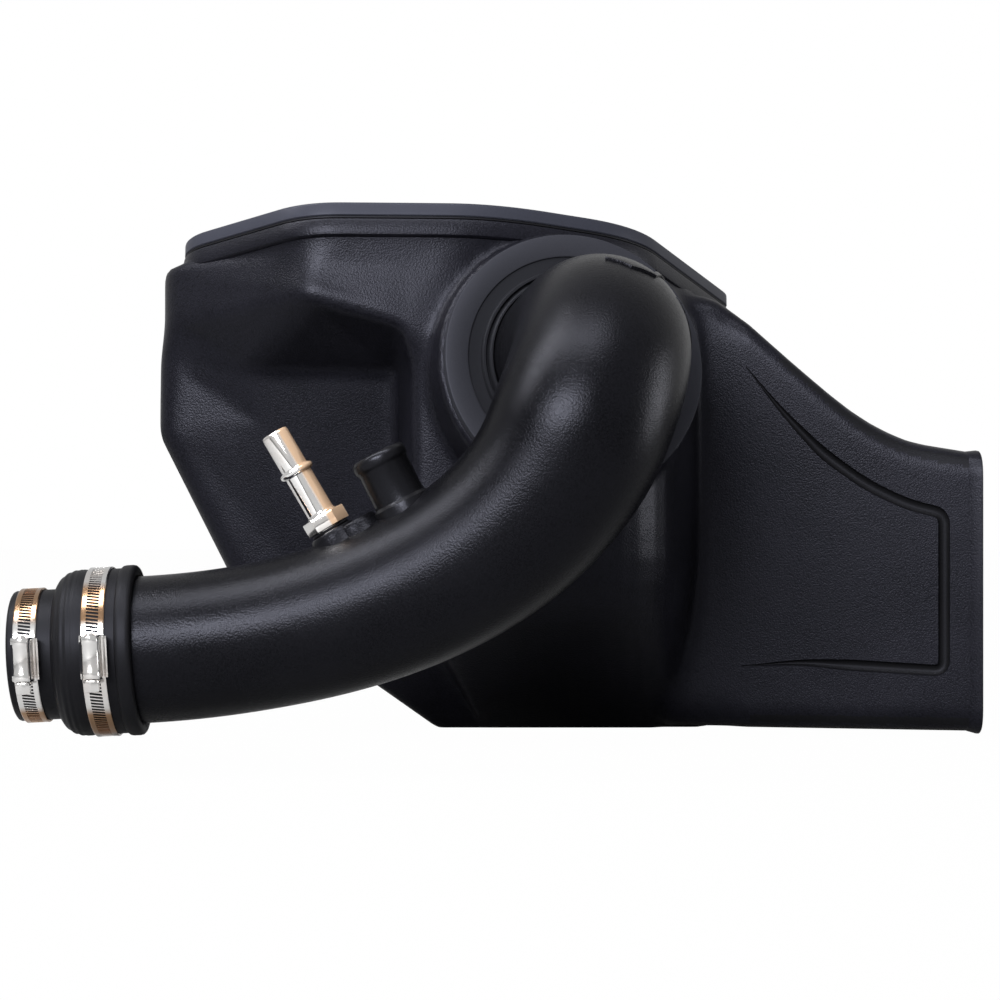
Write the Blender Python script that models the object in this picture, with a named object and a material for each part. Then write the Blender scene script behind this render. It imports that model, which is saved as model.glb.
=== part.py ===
"""Enclosed cold-air intake: moulded airbox with lid and inlet duct, cone filter, tube and reducer.

Metres, +Z up. The origin is the middle of the flat base, the duct mouth points to +X and
the tube port looks towards -Y.
"""

from math import cos, pi, radians, sin, tan

import bmesh
import bpy
from mathutils import Matrix, Vector

# Clearance between pieces that touch, and the pitch of the lid, the rim and the port
GAP = 0.0003
LID_TILT = radians(12)

# Airbox shell, seen from the front: distances from the middle of the base
WALL = 0.004
BASE_DEPTH = 0.075
BASE_LEFT = 0.088
BASE_RIGHT = 0.096
BOX_FRONT = 0.1705
BOX_LEFT = 0.260
BOX_RIGHT = 0.094
LEFT_CORNER_BACK = 0.076
CREASE_X = 0.164
RECESS_CREASE_X = 0.200
RECESS_RIGHT = 0.110
RECESS_DEPTH = 0.058
SLAB_LEFT = 0.098
SLAB_RIGHT = 0.048
UPPER_WALL = 0.047
UNDERCUT_DROP = 0.043
LEDGE_RISE = 0.010
SLAB_DROP = 0.023
RECESS_WALL = 0.040
KNEE_HEIGHT = 0.095
KNEE_LEFT = 0.214
LEFT_BULGE = 0.005
BASE_FLARE = 0.012
RIGHT_FLARE = 0.024
SEAM_FRONT = 0.005
SLAB_SETBACK = 0.025
PLAN_ROUND = 0.022
EDGE_ROUND = 0.011

# Rim, lid and its fasteners
LID_HEIGHT = 0.331
LID_THICKNESS = 0.0085
LID_LEFT_INSET = 0.013
LID_FRONT_INSET = 0.003
LID_CORNER_BACK = 0.071
LID_ARC_X = 0.040
LID_ARC_BACK = 0.046
LID_RIGHT = 0.116
LID_CHAMFER = 0.0008
SEAL_THICKNESS = 0.001
SEAL_INSET = 0.0006
RIM_BEAD = 0.008
RIM_NECK = 0.003
FLANGE_WIDTH = 0.014
FLANGE_DEPTH = 0.016
SHOULDER_DROP = 0.030
LID_SCREWS = 8
SCREW_DIAMETER = 0.004
SCREW_HEAD = 0.008
SCREW_LENGTH = 0.020
SCREW_SIDES = 10

# Tube port: ring, barrel and filter share one axis
PORT_BELOW_LID = 0.018
PORT_FRONT = 0.012
PORT_YAW = radians(14)
RING_DIAMETER = 0.160
RING_THICKNESS = 0.008
RING_STEP = 0.066
RING_STEP_DEPTH = 0.0015
RING_EDGE = 0.001
BARREL_MARGIN = 0.002
BARREL_FLARE = 0.008
BARREL_LENGTH = 0.110
NECK_LENGTH = 0.045
LIP_WIDTH = 0.006
PORT_SIDES = 32

# Inlet duct
MOUTH_X = 0.2585
MOUTH_HEIGHT = 0.180
MOUTH_FRONT = 0.1005
MOUTH_BACK = 0.0175
DUCT_FRONT = 0.0625
DUCT_BACK = 0.030
DUCT_START = 0.060
RAMP_START = 0.092
RAMP_END = 0.200
RAMP_FOOT = 0.010
RAMP_ROUND = 0.045
DUCT_FLOOR = 0.0025
DUCT_ROUND = 0.016
TRIM_THICKNESS = 0.0015
TRIM_LEG = 0.008

# Tube
TUBE_FILTER_DIAMETER = 0.1016
TUBE_COUPLER_DIAMETER = 0.0825
TUBE_WALL = 0.0035
TUBE_STRAIGHT = 0.036
TUBE_SIDES = 26
ELBOW_RADIUS = 0.060
ELBOW_LEAN = radians(23.5)
SWEEP_START = 0.075
SWEEP_END = 0.120
TUBE_END = Vector((-0.246, -0.2785, 0.066))
COUPLER_TILT = radians(3)

# Fittings on the tube
BREATHER_AT = 0.45
BREATHER_LEAN = radians(27)
BREATHER_REACH = 0.077
BREATHER_DIAMETER = 0.0295
BREATHER_BORE = 0.024
BREATHER_BEAD = 0.0012
BREATHER_BEAD_LENGTH = 0.004
BREATHER_FLANGE = 0.003
BREATHER_STEM = 0.028
BOSS_AT = 0.59
BOSS_LEAN = radians(30.5)
BOSS_DIAMETER = 0.026
BOSS_HEIGHT = 0.005
FITTING_DIAMETER = 0.0158
FITTING_BORE = 0.012
FITTING_BEAD = 0.020
FITTING_HEX = 0.022
FITTING_HEX_HEIGHT = 0.0085
FITTING_STEM = 0.053
FITTING_BEAD_FROM_TIP = 0.026
FITTING_BEAD_LENGTH = 0.002
FITTING_THREAD = 0.014
FITTING_SIDES = 18
WASHER_THICKNESS = 0.0015

# Reducer coupler and clamps
COUPLER_LENGTH = 0.070
COUPLER_LARGE_LENGTH = 0.029
COUPLER_SMALL_LENGTH = 0.024
COUPLER_WALL = 0.0047
COUPLER_BEAD = 0.0015
COUPLER_BEAD_LENGTH = 0.009
COUPLER_BORE = 0.0635
HOSE_SIDES = 32
BAND_WIDTH = 0.0127
BAND_THICKNESS = 0.0009
HOUSING_LENGTH = 0.024
HOUSING_WIDTH = 0.013
WORM_DIAMETER = 0.0072
WORM_HEAD = 0.0075
WORM_HEAD_LENGTH = 0.005
WORM_SIDES = 12
HOUSING_WALL = 0.0014
WORM_COLLAR = 0.0012

# Filter
FILTER_NECK = 0.030
FILTER_NECK_WALL = 0.0045
FILTER_BASE_DIAMETER = 0.140
FILTER_BASE_THICKNESS = 0.012
FILTER_LENGTH = 0.105
FILTER_TIP_DIAMETER = 0.100
FILTER_CAP = 0.009
PLEATS = 30
PLEAT_DEPTH = 0.010
FILTER_INNER_WALL = 0.004

# Bracket
BRACKET_THICKNESS = 0.0022
BRACKET_WIDTH = 0.024
BRACKET_FOOT = 0.016
BRACKET_TAB = 0.022
BRACKET_STEP = 0.003
BRACKET_HEAD = 0.0025

for leftover in list(bpy.data.objects):
    bpy.data.objects.remove(leftover, do_unlink=True)


def finish(name, colour, roughness, metallic=0.0):
    """A plain material for one kind of finish."""
    material = bpy.data.materials.new(name)
    material.use_nodes = True
    shader = material.node_tree.nodes["Principled BSDF"]
    shader.inputs["Base Color"].default_value = (*colour, 1)
    shader.inputs["Roughness"].default_value = roughness
    shader.inputs["Metallic"].default_value = metallic
    return material


TEXTURED_PLASTIC = finish("textured_plastic", (0.016, 0.016, 0.019), 0.5)
LID_PLASTIC = finish("lid_plastic", (0.060, 0.064, 0.080), 0.4)
RING_RUBBER = finish("ring_rubber", (0.045, 0.047, 0.056), 0.5)
BLACK_RUBBER = finish("black_rubber", (0.014, 0.014, 0.016), 0.6)
STEEL = finish("steel", (0.75, 0.73, 0.70), 0.22, 1.0)
FILTER_COTTON = finish("filter_cotton", (0.45, 0.06, 0.04), 0.9)


def add(name, shape, material, parent=None):
    """The object made from a closed shape, with its faces pointing out."""
    bmesh.ops.recalc_face_normals(shape, faces=shape.faces)
    mesh = bpy.data.meshes.new(name)
    shape.to_mesh(mesh)
    shape.free()
    mesh.materials.append(material)
    mesh.shade_smooth()
    mesh.set_sharp_from_angle(angle=radians(35))
    item = bpy.data.objects.new(name, mesh)
    bpy.context.scene.collection.objects.link(item)
    item.parent = parent
    return item


def guide(name, shape, parent=None):
    """A shape that only cuts or joins another one."""
    item = add(name, shape, TEXTURED_PLASTIC, parent)
    item.hide_render = True
    item.display_type = "WIRE"
    return item


def boolean(item, tool, operation):
    """Joins or cuts an object with a guide shape."""
    step = item.modifiers.new(tool.name, "BOOLEAN")
    step.operation = operation
    step.solver = "EXACT"
    step.object = tool


def axis_frame(name, matrix):
    """An empty that carries the pieces built along its own +Z."""
    empty = bpy.data.objects.new(name, None)
    empty.matrix_world = matrix
    bpy.context.scene.collection.objects.link(empty)
    return empty


def loft(loops, ring=False):
    """A closed shape over loops of equal counts: capped at both ends, or closed into a ring."""
    shape = bmesh.new()
    rows = [[shape.verts.new(point) for point in loop] for loop in loops]
    pairs = list(zip(rows, rows[1:]))
    if ring:
        pairs.append((rows[-1], rows[0]))
    count = len(rows[0])
    for lower, upper in pairs:
        for i in range(count):
            j = (i + 1) % count
            shape.faces.new((lower[i], lower[j], upper[j], upper[i]))
    if not ring:
        shape.faces.new(rows[0])
        shape.faces.new(rows[-1])
    return shape


def circle(height, radius, segments, sides=0):
    """A loop round Z, or a polygon of so many sides drawn with the same number of points."""
    points = []
    for i in range(segments):
        angle = 2 * pi * i / segments
        reach = radius
        if sides:
            reach = radius / cos(angle % (2 * pi / sides) - pi / sides)
        points.append(Vector((reach * cos(angle), reach * sin(angle), height)))
    return points


def turned(profile, segments, ring=False):
    """A shape turned round Z from (height, radius) or (height, radius, sides) stations."""
    return loft([circle(station[0], station[1], segments, *station[2:]) for station in profile], ring)


def rounded(points, setbacks, steps, closed):
    """A line of points with each corner replaced by a curve that starts a setback before it."""
    result = []
    count = len(points)
    for i, corner in enumerate(points):
        if not closed and i in (0, count - 1):
            result.append(corner.copy())
            continue
        before = points[i - 1] - corner
        after = points[(i + 1) % count] - corner
        start = corner + before.normalized() * min(setbacks[i], 0.45 * before.length)
        end = corner + after.normalized() * min(setbacks[i], 0.45 * after.length)
        for k in range(steps + 1):
            t = k / steps
            result.append(start * (1 - t) ** 2 + corner * (2 * t * (1 - t)) + end * t ** 2)
    return result


def inset(corners, distance):
    """Corners of a convex outline, counter-clockwise in XY, moved inwards by a distance."""
    moved = []
    count = len(corners)
    for i, corner in enumerate(corners):
        along_in = (corner - corners[i - 1]).to_2d().normalized()
        along_out = (corners[(i + 1) % count] - corner).to_2d().normalized()
        inward = Vector((-along_in.y - along_out.y, along_in.x + along_out.x)).normalized()
        reach = distance / max(0.3, inward.dot(Vector((-along_in.y, along_in.x))))
        moved.append(corner + Vector((inward.x * reach, inward.y * reach, 0)))
    return moved


# Shared frames: the lid plane, the port axis and the coupler axis
LID_FRAME = (Matrix.Translation((0, LID_FRONT_INSET - BOX_FRONT, LID_HEIGHT))
             @ Matrix.Rotation(-LID_TILT, 4, "X"))
PORT_DROP = PORT_BELOW_LID + RING_DIAMETER / 2
PORT_CENTRE = Vector((0, -BOX_FRONT - PORT_FRONT, LID_HEIGHT - PORT_DROP))
PORT_FRAME = (Matrix.Translation(PORT_CENTRE) @ Matrix.Rotation(PORT_YAW, 4, "Z")
              @ Matrix.Rotation(pi / 2 - LID_TILT, 4, "X"))
COUPLER_FRAME = Matrix.Translation(TUBE_END) @ Matrix.Rotation(-pi / 2 - COUPLER_TILT, 4, "Y")
RIM_DROP = LID_THICKNESS + SEAL_THICKNESS + 2 * GAP
BOX_BACK = BASE_DEPTH / 2

LID_AXES = axis_frame("lid_plane", LID_FRAME)
PORT_AXES = axis_frame("port_axis", PORT_FRAME)
COUPLER_AXES = axis_frame("coupler_axis", COUPLER_FRAME)


def lid_corners():
    """Plan corners of the lid and the rim, in the lid's own plane, counter-clockwise."""
    left = -BOX_LEFT + LID_LEFT_INSET
    back = (BOX_BACK + BOX_FRONT - 2 * LID_FRONT_INSET) / cos(LID_TILT)
    arc_end = Vector((LID_ARC_X, LID_ARC_BACK, 0))
    run = Vector((LID_RIGHT, back, 0)) - arc_end
    return [Vector((left, back, 0)),
            Vector((left, LID_CORNER_BACK, 0)),
            Vector((-CREASE_X, 0, 0)),
            Vector((-RECESS_RIGHT, 0.001, 0)),
            Vector((-SLAB_RIGHT, 0.003, 0)),
            arc_end,
            arc_end + run * 0.4,
            arc_end + run]


CORNER_ROUND = [PLAN_ROUND] * 4 + [1.6 * PLAN_ROUND] * 2 + [PLAN_ROUND] * 2
PLAN_STEPS = 3


def lid_loop(drop, shrink=0.0):
    """Rounded outline of the lid at a depth below its top, in the lid's own plane."""
    corners = inset(lid_corners(), shrink) if shrink else lid_corners()
    return [point + Vector((0, 0, -drop)) for point in rounded(corners, CORNER_ROUND, PLAN_STEPS, True)]


def box_levels():
    """Corner loops of the airbox below the rim, from the shoulder down to the base."""
    front, recess = -BOX_FRONT, -BOX_FRONT + RECESS_DEPTH
    left_y = front + LEFT_CORNER_BACK
    base_front = -BOX_BACK
    duct_y = -DUCT_FRONT - SEAM_FRONT
    rim = [LID_FRAME @ (corner + Vector((0, 0, -RIM_DROP))) for corner in lid_corners()]
    drop = Vector((0, 0, SHOULDER_DROP))
    plan = [(-BOX_LEFT, BOX_BACK), (-BOX_LEFT, left_y), (-CREASE_X, front), (-RECESS_RIGHT, front),
            (PLAN_ROUND - SLAB_LEFT, front), (SLAB_RIGHT, front + SLAB_SETBACK),
            (BOX_RIGHT - BASE_FLARE, duct_y - SEAM_FRONT), (BOX_RIGHT + RIGHT_FLARE, BOX_BACK)]
    shoulder = [Vector((x, y, corner.z)) - drop for (x, y), corner in zip(plan, rim)]
    upper_z = rim[2].z - UPPER_WALL
    side_z = upper_z - UNDERCUT_DROP - RECESS_WALL
    third = (side_z - shoulder[0].z) / 3
    plain = [shoulder[0].z + third, shoulder[0].z + 2 * third]
    right = BOX_RIGHT + RIGHT_FLARE
    low_z = upper_z - SLAB_DROP
    upper = [Vector((-BOX_LEFT, BOX_BACK, plain[0])), Vector((-BOX_LEFT, left_y, upper_z - LEDGE_RISE)),
             Vector((-CREASE_X, front, upper_z)),
             Vector((-RECESS_RIGHT, front, 0.25 * upper_z + 0.75 * low_z)), Vector((-SLAB_LEFT, front, low_z)), Vector((SLAB_RIGHT, front, low_z)),
             Vector((BOX_RIGHT, duct_y, low_z - SEAM_FRONT)), Vector((right, BOX_BACK, plain[0]))]
    top_z = upper_z - UNDERCUT_DROP
    left_x = -BOX_LEFT - LEFT_BULGE
    inner = [Vector((-BOX_LEFT, BOX_BACK, plain[1])), Vector((left_x, left_y, top_z + LEDGE_RISE)),
             Vector((-RECESS_CREASE_X, recess, top_z)), Vector((-RECESS_RIGHT, recess, top_z)),
             Vector((-SLAB_LEFT, front, top_z)), Vector((SLAB_RIGHT, front, top_z)),
             Vector((BOX_RIGHT, duct_y, top_z)), Vector((right, BOX_BACK, plain[1]))]
    crease_step = (RECESS_CREASE_X - RECESS_RIGHT) * 0.2
    side = [Vector((-BOX_LEFT, BOX_BACK, side_z)), Vector((left_x, left_y, side_z)),
            Vector((crease_step - RECESS_CREASE_X, recess, side_z)),
            Vector((-RECESS_RIGHT, recess, side_z)), Vector((-SLAB_LEFT, front, side_z)), Vector((SLAB_RIGHT, front, side_z)),
            Vector((BOX_RIGHT, duct_y, side_z)), Vector((right, BOX_BACK, side_z))]
    knee = [Vector((-KNEE_LEFT, BOX_BACK, KNEE_HEIGHT)),
            Vector((-KNEE_LEFT, left_y + SEAM_FRONT, KNEE_HEIGHT)),
            Vector((-0.75 * KNEE_LEFT, recess, KNEE_HEIGHT)), Vector((-RECESS_RIGHT, recess, KNEE_HEIGHT)),
            Vector((-SLAB_LEFT, front, KNEE_HEIGHT)), Vector((SLAB_RIGHT, front, KNEE_HEIGHT)),
            Vector((BOX_RIGHT, duct_y, KNEE_HEIGHT)), Vector((right, BOX_BACK, KNEE_HEIGHT))]
    base_xs = [-BASE_LEFT, -BASE_LEFT, -0.86 * BASE_LEFT, -0.72 * BASE_LEFT, -0.58 * BASE_LEFT,
               0.5 * BASE_RIGHT, BASE_RIGHT, BASE_RIGHT + BASE_FLARE]
    base_ys = [BOX_BACK] + [base_front] * 6 + [BOX_BACK]
    base = [Vector((x, y, 0)) for x, y in zip(base_xs, base_ys)]
    return [shoulder, upper, inner, side, knee, base]


def box_rows(first_loops):
    """Rounded surface of the airbox below some given loops, as rows of points."""
    levels = [rounded(level, CORNER_ROUND, PLAN_STEPS, True) for level in box_levels()]
    columns = zip(*(first_loops + levels))
    smooth = [rounded(list(column), [EDGE_ROUND] * len(column), 2, False) for column in columns]
    return [list(row) for row in zip(*smooth)]


def to_world(loop):
    """Points of a loop in the lid's plane, in the part's own frame."""
    return [LID_FRAME @ point for point in loop]


def duct_stations():
    """(x, height) of the ramp over the duct, from inside the box to the mouth."""
    front_y = -DUCT_FRONT
    rim_z = (LID_FRAME @ Vector((0, (front_y + BOX_FRONT) / cos(LID_TILT), -RIM_DROP))).z
    top = rim_z - RIM_BEAD - 0.002
    ramp = [Vector((DUCT_START, top - 0.004)), Vector((RAMP_START, top)),
            Vector((RAMP_END, MOUTH_HEIGHT + RAMP_FOOT)), Vector((MOUTH_X, MOUTH_HEIGHT))]
    stations = rounded(ramp, [0, 0.25 * RAMP_ROUND, RAMP_ROUND, 0], 5, False)
    stations.append(ramp[1].lerp(ramp[2], 0.5))
    return sorted(stations, key=lambda station: station.x)


def duct_loop(x, top, grow):
    """Rounded section of the duct at x, grown outwards by a distance."""
    along = (x - DUCT_START) / (MOUTH_X - DUCT_START)
    front = -DUCT_FRONT + along * (DUCT_FRONT - MOUTH_FRONT) - grow
    back = DUCT_BACK + along * (MOUTH_BACK - DUCT_BACK) + grow
    slope = tan(LID_TILT) * min(1, max(0, 2 * (RAMP_END - x) / (RAMP_END - RAMP_START)))
    corners = [Vector((x, front, DUCT_FLOOR - grow)), Vector((x, back, DUCT_FLOOR - grow)),
               Vector((x, back, top + grow - slope * (back - front))), Vector((x, front, top + grow))]
    return rounded(corners, [DUCT_ROUND + grow] * 4, 3, True)


def airbox_body():
    """Hollow moulded shell: the box, the duct and the barrel round the tube port."""
    rim_top = to_world(lid_loop(RIM_DROP))
    bead_foot = to_world(lid_loop(RIM_DROP + RIM_BEAD))
    neck = to_world(lid_loop(RIM_DROP + RIM_BEAD + RIM_NECK, RIM_NECK))
    body = add("airbox_body", loft(box_rows([rim_top, bead_foot, neck])), TEXTURED_PLASTIC)
    stations = duct_stations()
    duct_out = loft([duct_loop(x, top, 0) for x, top in stations])
    boolean(body, guide("duct_outside", duct_out), "UNION")
    barrel_radius = RING_DIAMETER / 2 + BARREL_MARGIN
    barrel_front = -RING_THICKNESS - GAP
    barrel = turned([(barrel_front, barrel_radius), (-NECK_LENGTH, barrel_radius + BARREL_MARGIN),
                     (-NECK_LENGTH - BARREL_FLARE, barrel_radius + 2 * BARREL_MARGIN),
                     (-BARREL_LENGTH, barrel_radius + 2 * BARREL_MARGIN)], PORT_SIDES)
    boolean(body, guide("barrel_outside", barrel, PORT_AXES), "UNION")

    ledge_plan = to_world(lid_loop(RIM_DROP + FLANGE_DEPTH))
    cavity = box_cavity(ledge_plan)
    boolean(body, guide("box_inside", cavity), "DIFFERENCE")
    mouth_x, mouth_top = stations[-1]
    duct_in = [duct_loop(x, top, -WALL) for x, top in stations]
    duct_in.append([point + Vector((WALL, 0, 0)) for point in duct_loop(mouth_x, mouth_top, -WALL)])
    boolean(body, guide("duct_inside", loft(duct_in)), "DIFFERENCE")
    barrel_in = turned([(barrel_front - WALL, barrel_radius - WALL),
                        (-BARREL_LENGTH - WALL, barrel_radius - WALL)], PORT_SIDES)
    boolean(body, guide("barrel_inside", barrel_in, PORT_AXES), "DIFFERENCE")
    port = turned([(0, port_hole_radius()), (-RING_THICKNESS - 3 * WALL, port_hole_radius())], PORT_SIDES)
    boolean(body, guide("port_hole", port, PORT_AXES), "DIFFERENCE")
    pilots = screw_cutter("lid_screw_pilots", SCREW_DIAMETER / 2 + GAP, SCREW_LENGTH + 2 * GAP)
    boolean(body, pilots, "DIFFERENCE")


def box_cavity(ledge_plan):
    """Inside of the box: the outer surface moved in by the wall, under an open, flanged top."""
    shape = bmesh.new()
    rows = [[shape.verts.new(point) for point in row] for row in box_rows([ledge_plan])]
    count = len(rows[0])
    for lower, upper in zip(rows, rows[1:]):
        for i in range(count):
            j = (i + 1) % count
            shape.faces.new((lower[i], upper[i], upper[j], lower[j]))
    shape.faces.new(rows[-1])
    bmesh.ops.recalc_face_normals(shape, faces=shape.faces)
    shape.normal_update()
    moved = [vertex.co - vertex.normal * WALL * vertex.calc_shell_factor() for vertex in shape.verts]
    shape.free()
    inner = [moved[i:i + count] for i in range(0, len(moved), count)]
    flat = LID_FRAME.inverted()
    ledge = []
    for point in inner[0]:
        local = flat @ point
        ledge.append(LID_FRAME @ Vector((local.x, local.y, -RIM_DROP - FLANGE_DEPTH)))
    inner[0] = ledge
    opening = to_world(lid_loop(RIM_DROP + FLANGE_DEPTH, FLANGE_WIDTH))
    above = to_world(lid_loop(-FLANGE_DEPTH, FLANGE_WIDTH))
    return loft([above, opening] + inner)


def port_hole_radius():
    """Radius of the hole that the ring's sleeve passes through."""
    return TUBE_FILTER_DIAMETER / 2 + GAP + LIP_WIDTH + GAP


def screw_places():
    """Middle of the flange under each lid screw, evenly spaced along the lid's outline."""
    loop = lid_loop(0, FLANGE_WIDTH / 2)
    lengths = [(loop[(i + 1) % len(loop)] - point).length for i, point in enumerate(loop)]
    places = []
    for k in range(LID_SCREWS):
        wanted = sum(lengths) * (k + 0.5) / LID_SCREWS
        i = 0
        while wanted > lengths[i]:
            wanted -= lengths[i]
            i += 1
        places.append(loop[i].lerp(loop[(i + 1) % len(loop)], wanted / lengths[i]))
    return places


def screw_cutter(name, radius, length, head_radius=0.0):
    """All the screw holes of the lid as one guide, with countersinks where a head radius is given."""
    shape = bmesh.new()
    for place in screw_places():
        stations = [(-length, radius), (FLANGE_DEPTH, radius)]
        if head_radius:
            depth = head_radius - radius
            stations = [(-length, radius), (-depth, radius), (0, head_radius), (FLANGE_DEPTH, head_radius)]
        hole = turned(stations, SCREW_SIDES)
        mesh = bpy.data.meshes.new("hole")
        hole.to_mesh(mesh)
        hole.free()
        mesh.transform(Matrix.Translation(place))
        shape.from_mesh(mesh)
        bpy.data.meshes.remove(mesh)
    return guide(name, shape, LID_AXES)


def lid_and_seal():
    """Flat lid on its thin seal, held by countersunk screws round the rim."""
    lid_loops = [lid_loop(LID_THICKNESS), lid_loop(LID_CHAMFER), lid_loop(0, LID_CHAMFER)]
    lid = add("airbox_lid", loft(lid_loops), LID_PLASTIC, LID_AXES)
    hole = SCREW_DIAMETER / 2 + GAP
    sunk_holes = screw_cutter("lid_screw_holes", hole, LID_THICKNESS + WALL, SCREW_HEAD / 2 + GAP)
    boolean(lid, sunk_holes, "DIFFERENCE")
    top = LID_THICKNESS + GAP
    foot = top + SEAL_THICKNESS
    seal_loops = [lid_loop(foot, SEAL_INSET), lid_loop(top, SEAL_INSET),
                  lid_loop(top, FLANGE_WIDTH), lid_loop(foot, FLANGE_WIDTH)]
    seal = add("lid_seal", loft(seal_loops, True), BLACK_RUBBER, LID_AXES)
    boolean(seal, screw_cutter("seal_screw_holes", hole, RIM_DROP + WALL), "DIFFERENCE")
    for number, place in enumerate(screw_places(), 1):
        head, shank = SCREW_HEAD / 2, SCREW_DIAMETER / 2
        shape = turned([(-SCREW_LENGTH, shank), (shank - head, shank), (0, head)], SCREW_SIDES)
        screw = add(f"lid_screw_{number}", shape, STEEL, LID_AXES)
        screw.location = place


def seal_ring():
    """Flat ring on the barrel's face, with a step and two lips that close on the tube."""
    bore = TUBE_FILTER_DIAMETER / 2 + GAP
    outer = RING_DIAMETER / 2
    step, edge = RING_STEP_DEPTH, RING_EDGE
    lip = bore + LIP_WIDTH
    groove = bore + LIP_WIDTH / 2
    back = -RING_THICKNESS - WALL
    profile = [(-RING_THICKNESS, outer), (-edge, outer), (0, outer - edge), (0, RING_STEP),
               (-step, RING_STEP - step), (-step, lip), (step, lip - edge), (step, groove), (-step, groove),
               (2 * step, bore + edge), (2 * step, bore), (back, bore), (back, lip), (-RING_THICKNESS, lip)]
    add("tube_seal_ring", turned(profile, PORT_SIDES, True), RING_RUBBER, PORT_AXES)


def duct_trim():
    """Rubber channel pushed over the edge of the duct mouth."""
    before, mouth = duct_stations()[-2:]
    back = TRIM_LEG / (mouth.x - before.x)
    end = mouth.x + GAP
    outside, inside = GAP + TRIM_THICKNESS, -WALL - GAP - TRIM_THICKNESS

    def mouth_loop(x, grow):
        return [Vector((x, point.y, point.z)) for point in duct_loop(*mouth, grow)]

    def leg_loop(grow):
        pairs = zip(duct_loop(*mouth, grow), duct_loop(*before, grow))
        return [at_mouth.lerp(at_station, back) for at_mouth, at_station in pairs]

    face = end + TRIM_THICKNESS
    loops = [leg_loop(outside), mouth_loop(face, outside), mouth_loop(face, inside), leg_loop(inside),
             leg_loop(-WALL - GAP), mouth_loop(end, -WALL - GAP), mouth_loop(end, GAP), leg_loop(GAP)]
    add("duct_edge_trim", loft(loops, True), BLACK_RUBBER)


def tube_line():
    """Centre line and outer radius of the tube, from the filter end to the coupler end."""
    big, small = TUBE_FILTER_DIAMETER / 2, TUBE_COUPLER_DIAMETER / 2
    out = (PORT_FRAME.to_3x3() @ Vector((0, 0, 1))).normalized()
    stub = filter_neck_start() + FILTER_NECK - GAP
    line = [(PORT_CENTRE - out * stub, big), (PORT_CENTRE, big)]
    bend = PORT_CENTRE + out * TUBE_STRAIGHT
    down = Vector((-sin(ELBOW_LEAN), 0, -cos(ELBOW_LEAN)))
    side = (down - out * down.dot(out)).normalized()
    turn = out.angle(down)
    steps = 9
    for k in range(steps + 1):
        angle = turn * k / steps
        line.append((bend + ELBOW_RADIUS * (sin(angle) * out + (1 - cos(angle)) * side), big))
    for k in range(1, 11):
        t = k / 10
        line.append((sweep_point(t), big + (small - big) * min(1, 1.25 * t) ** 0.75))
    coupler_out = COUPLER_FRAME.to_3x3() @ Vector((0, 0, 1))
    line.append((TUBE_END + coupler_out * COUPLER_LARGE_LENGTH, small))
    return line


def sweep_point(t):
    """Point on the long sweep between the elbow and the coupler."""
    out = (PORT_FRAME.to_3x3() @ Vector((0, 0, 1))).normalized()
    down = Vector((-sin(ELBOW_LEAN), 0, -cos(ELBOW_LEAN)))
    side = (down - out * down.dot(out)).normalized()
    turn = out.angle(down)
    start = PORT_CENTRE + out * TUBE_STRAIGHT + ELBOW_RADIUS * (sin(turn) * out + (1 - cos(turn)) * side)
    coupler_out = COUPLER_FRAME.to_3x3() @ Vector((0, 0, 1))
    first = start + down * SWEEP_START
    second = TUBE_END - coupler_out * SWEEP_END
    return (start * (1 - t) ** 3 + first * (3 * t * (1 - t) ** 2)
            + second * (3 * t ** 2 * (1 - t)) + TUBE_END * t ** 3)


def tube_loops(change):
    """Loops round the tube's centre line, with a change of radius."""
    line = tube_line()
    points = [point for point, radius in line]
    across = Vector((1, 0, 0))
    loops = []
    for i, (point, radius) in enumerate(line):
        ahead = points[min(i + 1, len(points) - 1)] - points[max(i - 1, 0)]
        if i <= 1:
            ahead = points[1] - points[0]
        ahead.normalize()
        across = (across - ahead * across.dot(ahead)).normalized()
        other = ahead.cross(across)
        ring = []
        for k in range(TUBE_SIDES):
            angle = 2 * pi * k / TUBE_SIDES
            ring.append(point + (radius + change) * (cos(angle) * across + sin(angle) * other))
        loops.append(ring)
    return loops


def fitting_frame(at, lean):
    """Frame on the tube's centre line whose +Z leaves it, leaning to the left."""
    return Matrix.Translation(sweep_point(at)) @ Matrix.Rotation(-lean, 4, "Y")


def boss_face():
    """Distance from the centre line to the flat face of the boss."""
    t = min(1, 1.25 * BOSS_AT) ** 0.75
    radius = (TUBE_FILTER_DIAMETER + t * (TUBE_COUPLER_DIAMETER - TUBE_FILTER_DIAMETER)) / 2
    return radius + BOSS_HEIGHT


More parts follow.
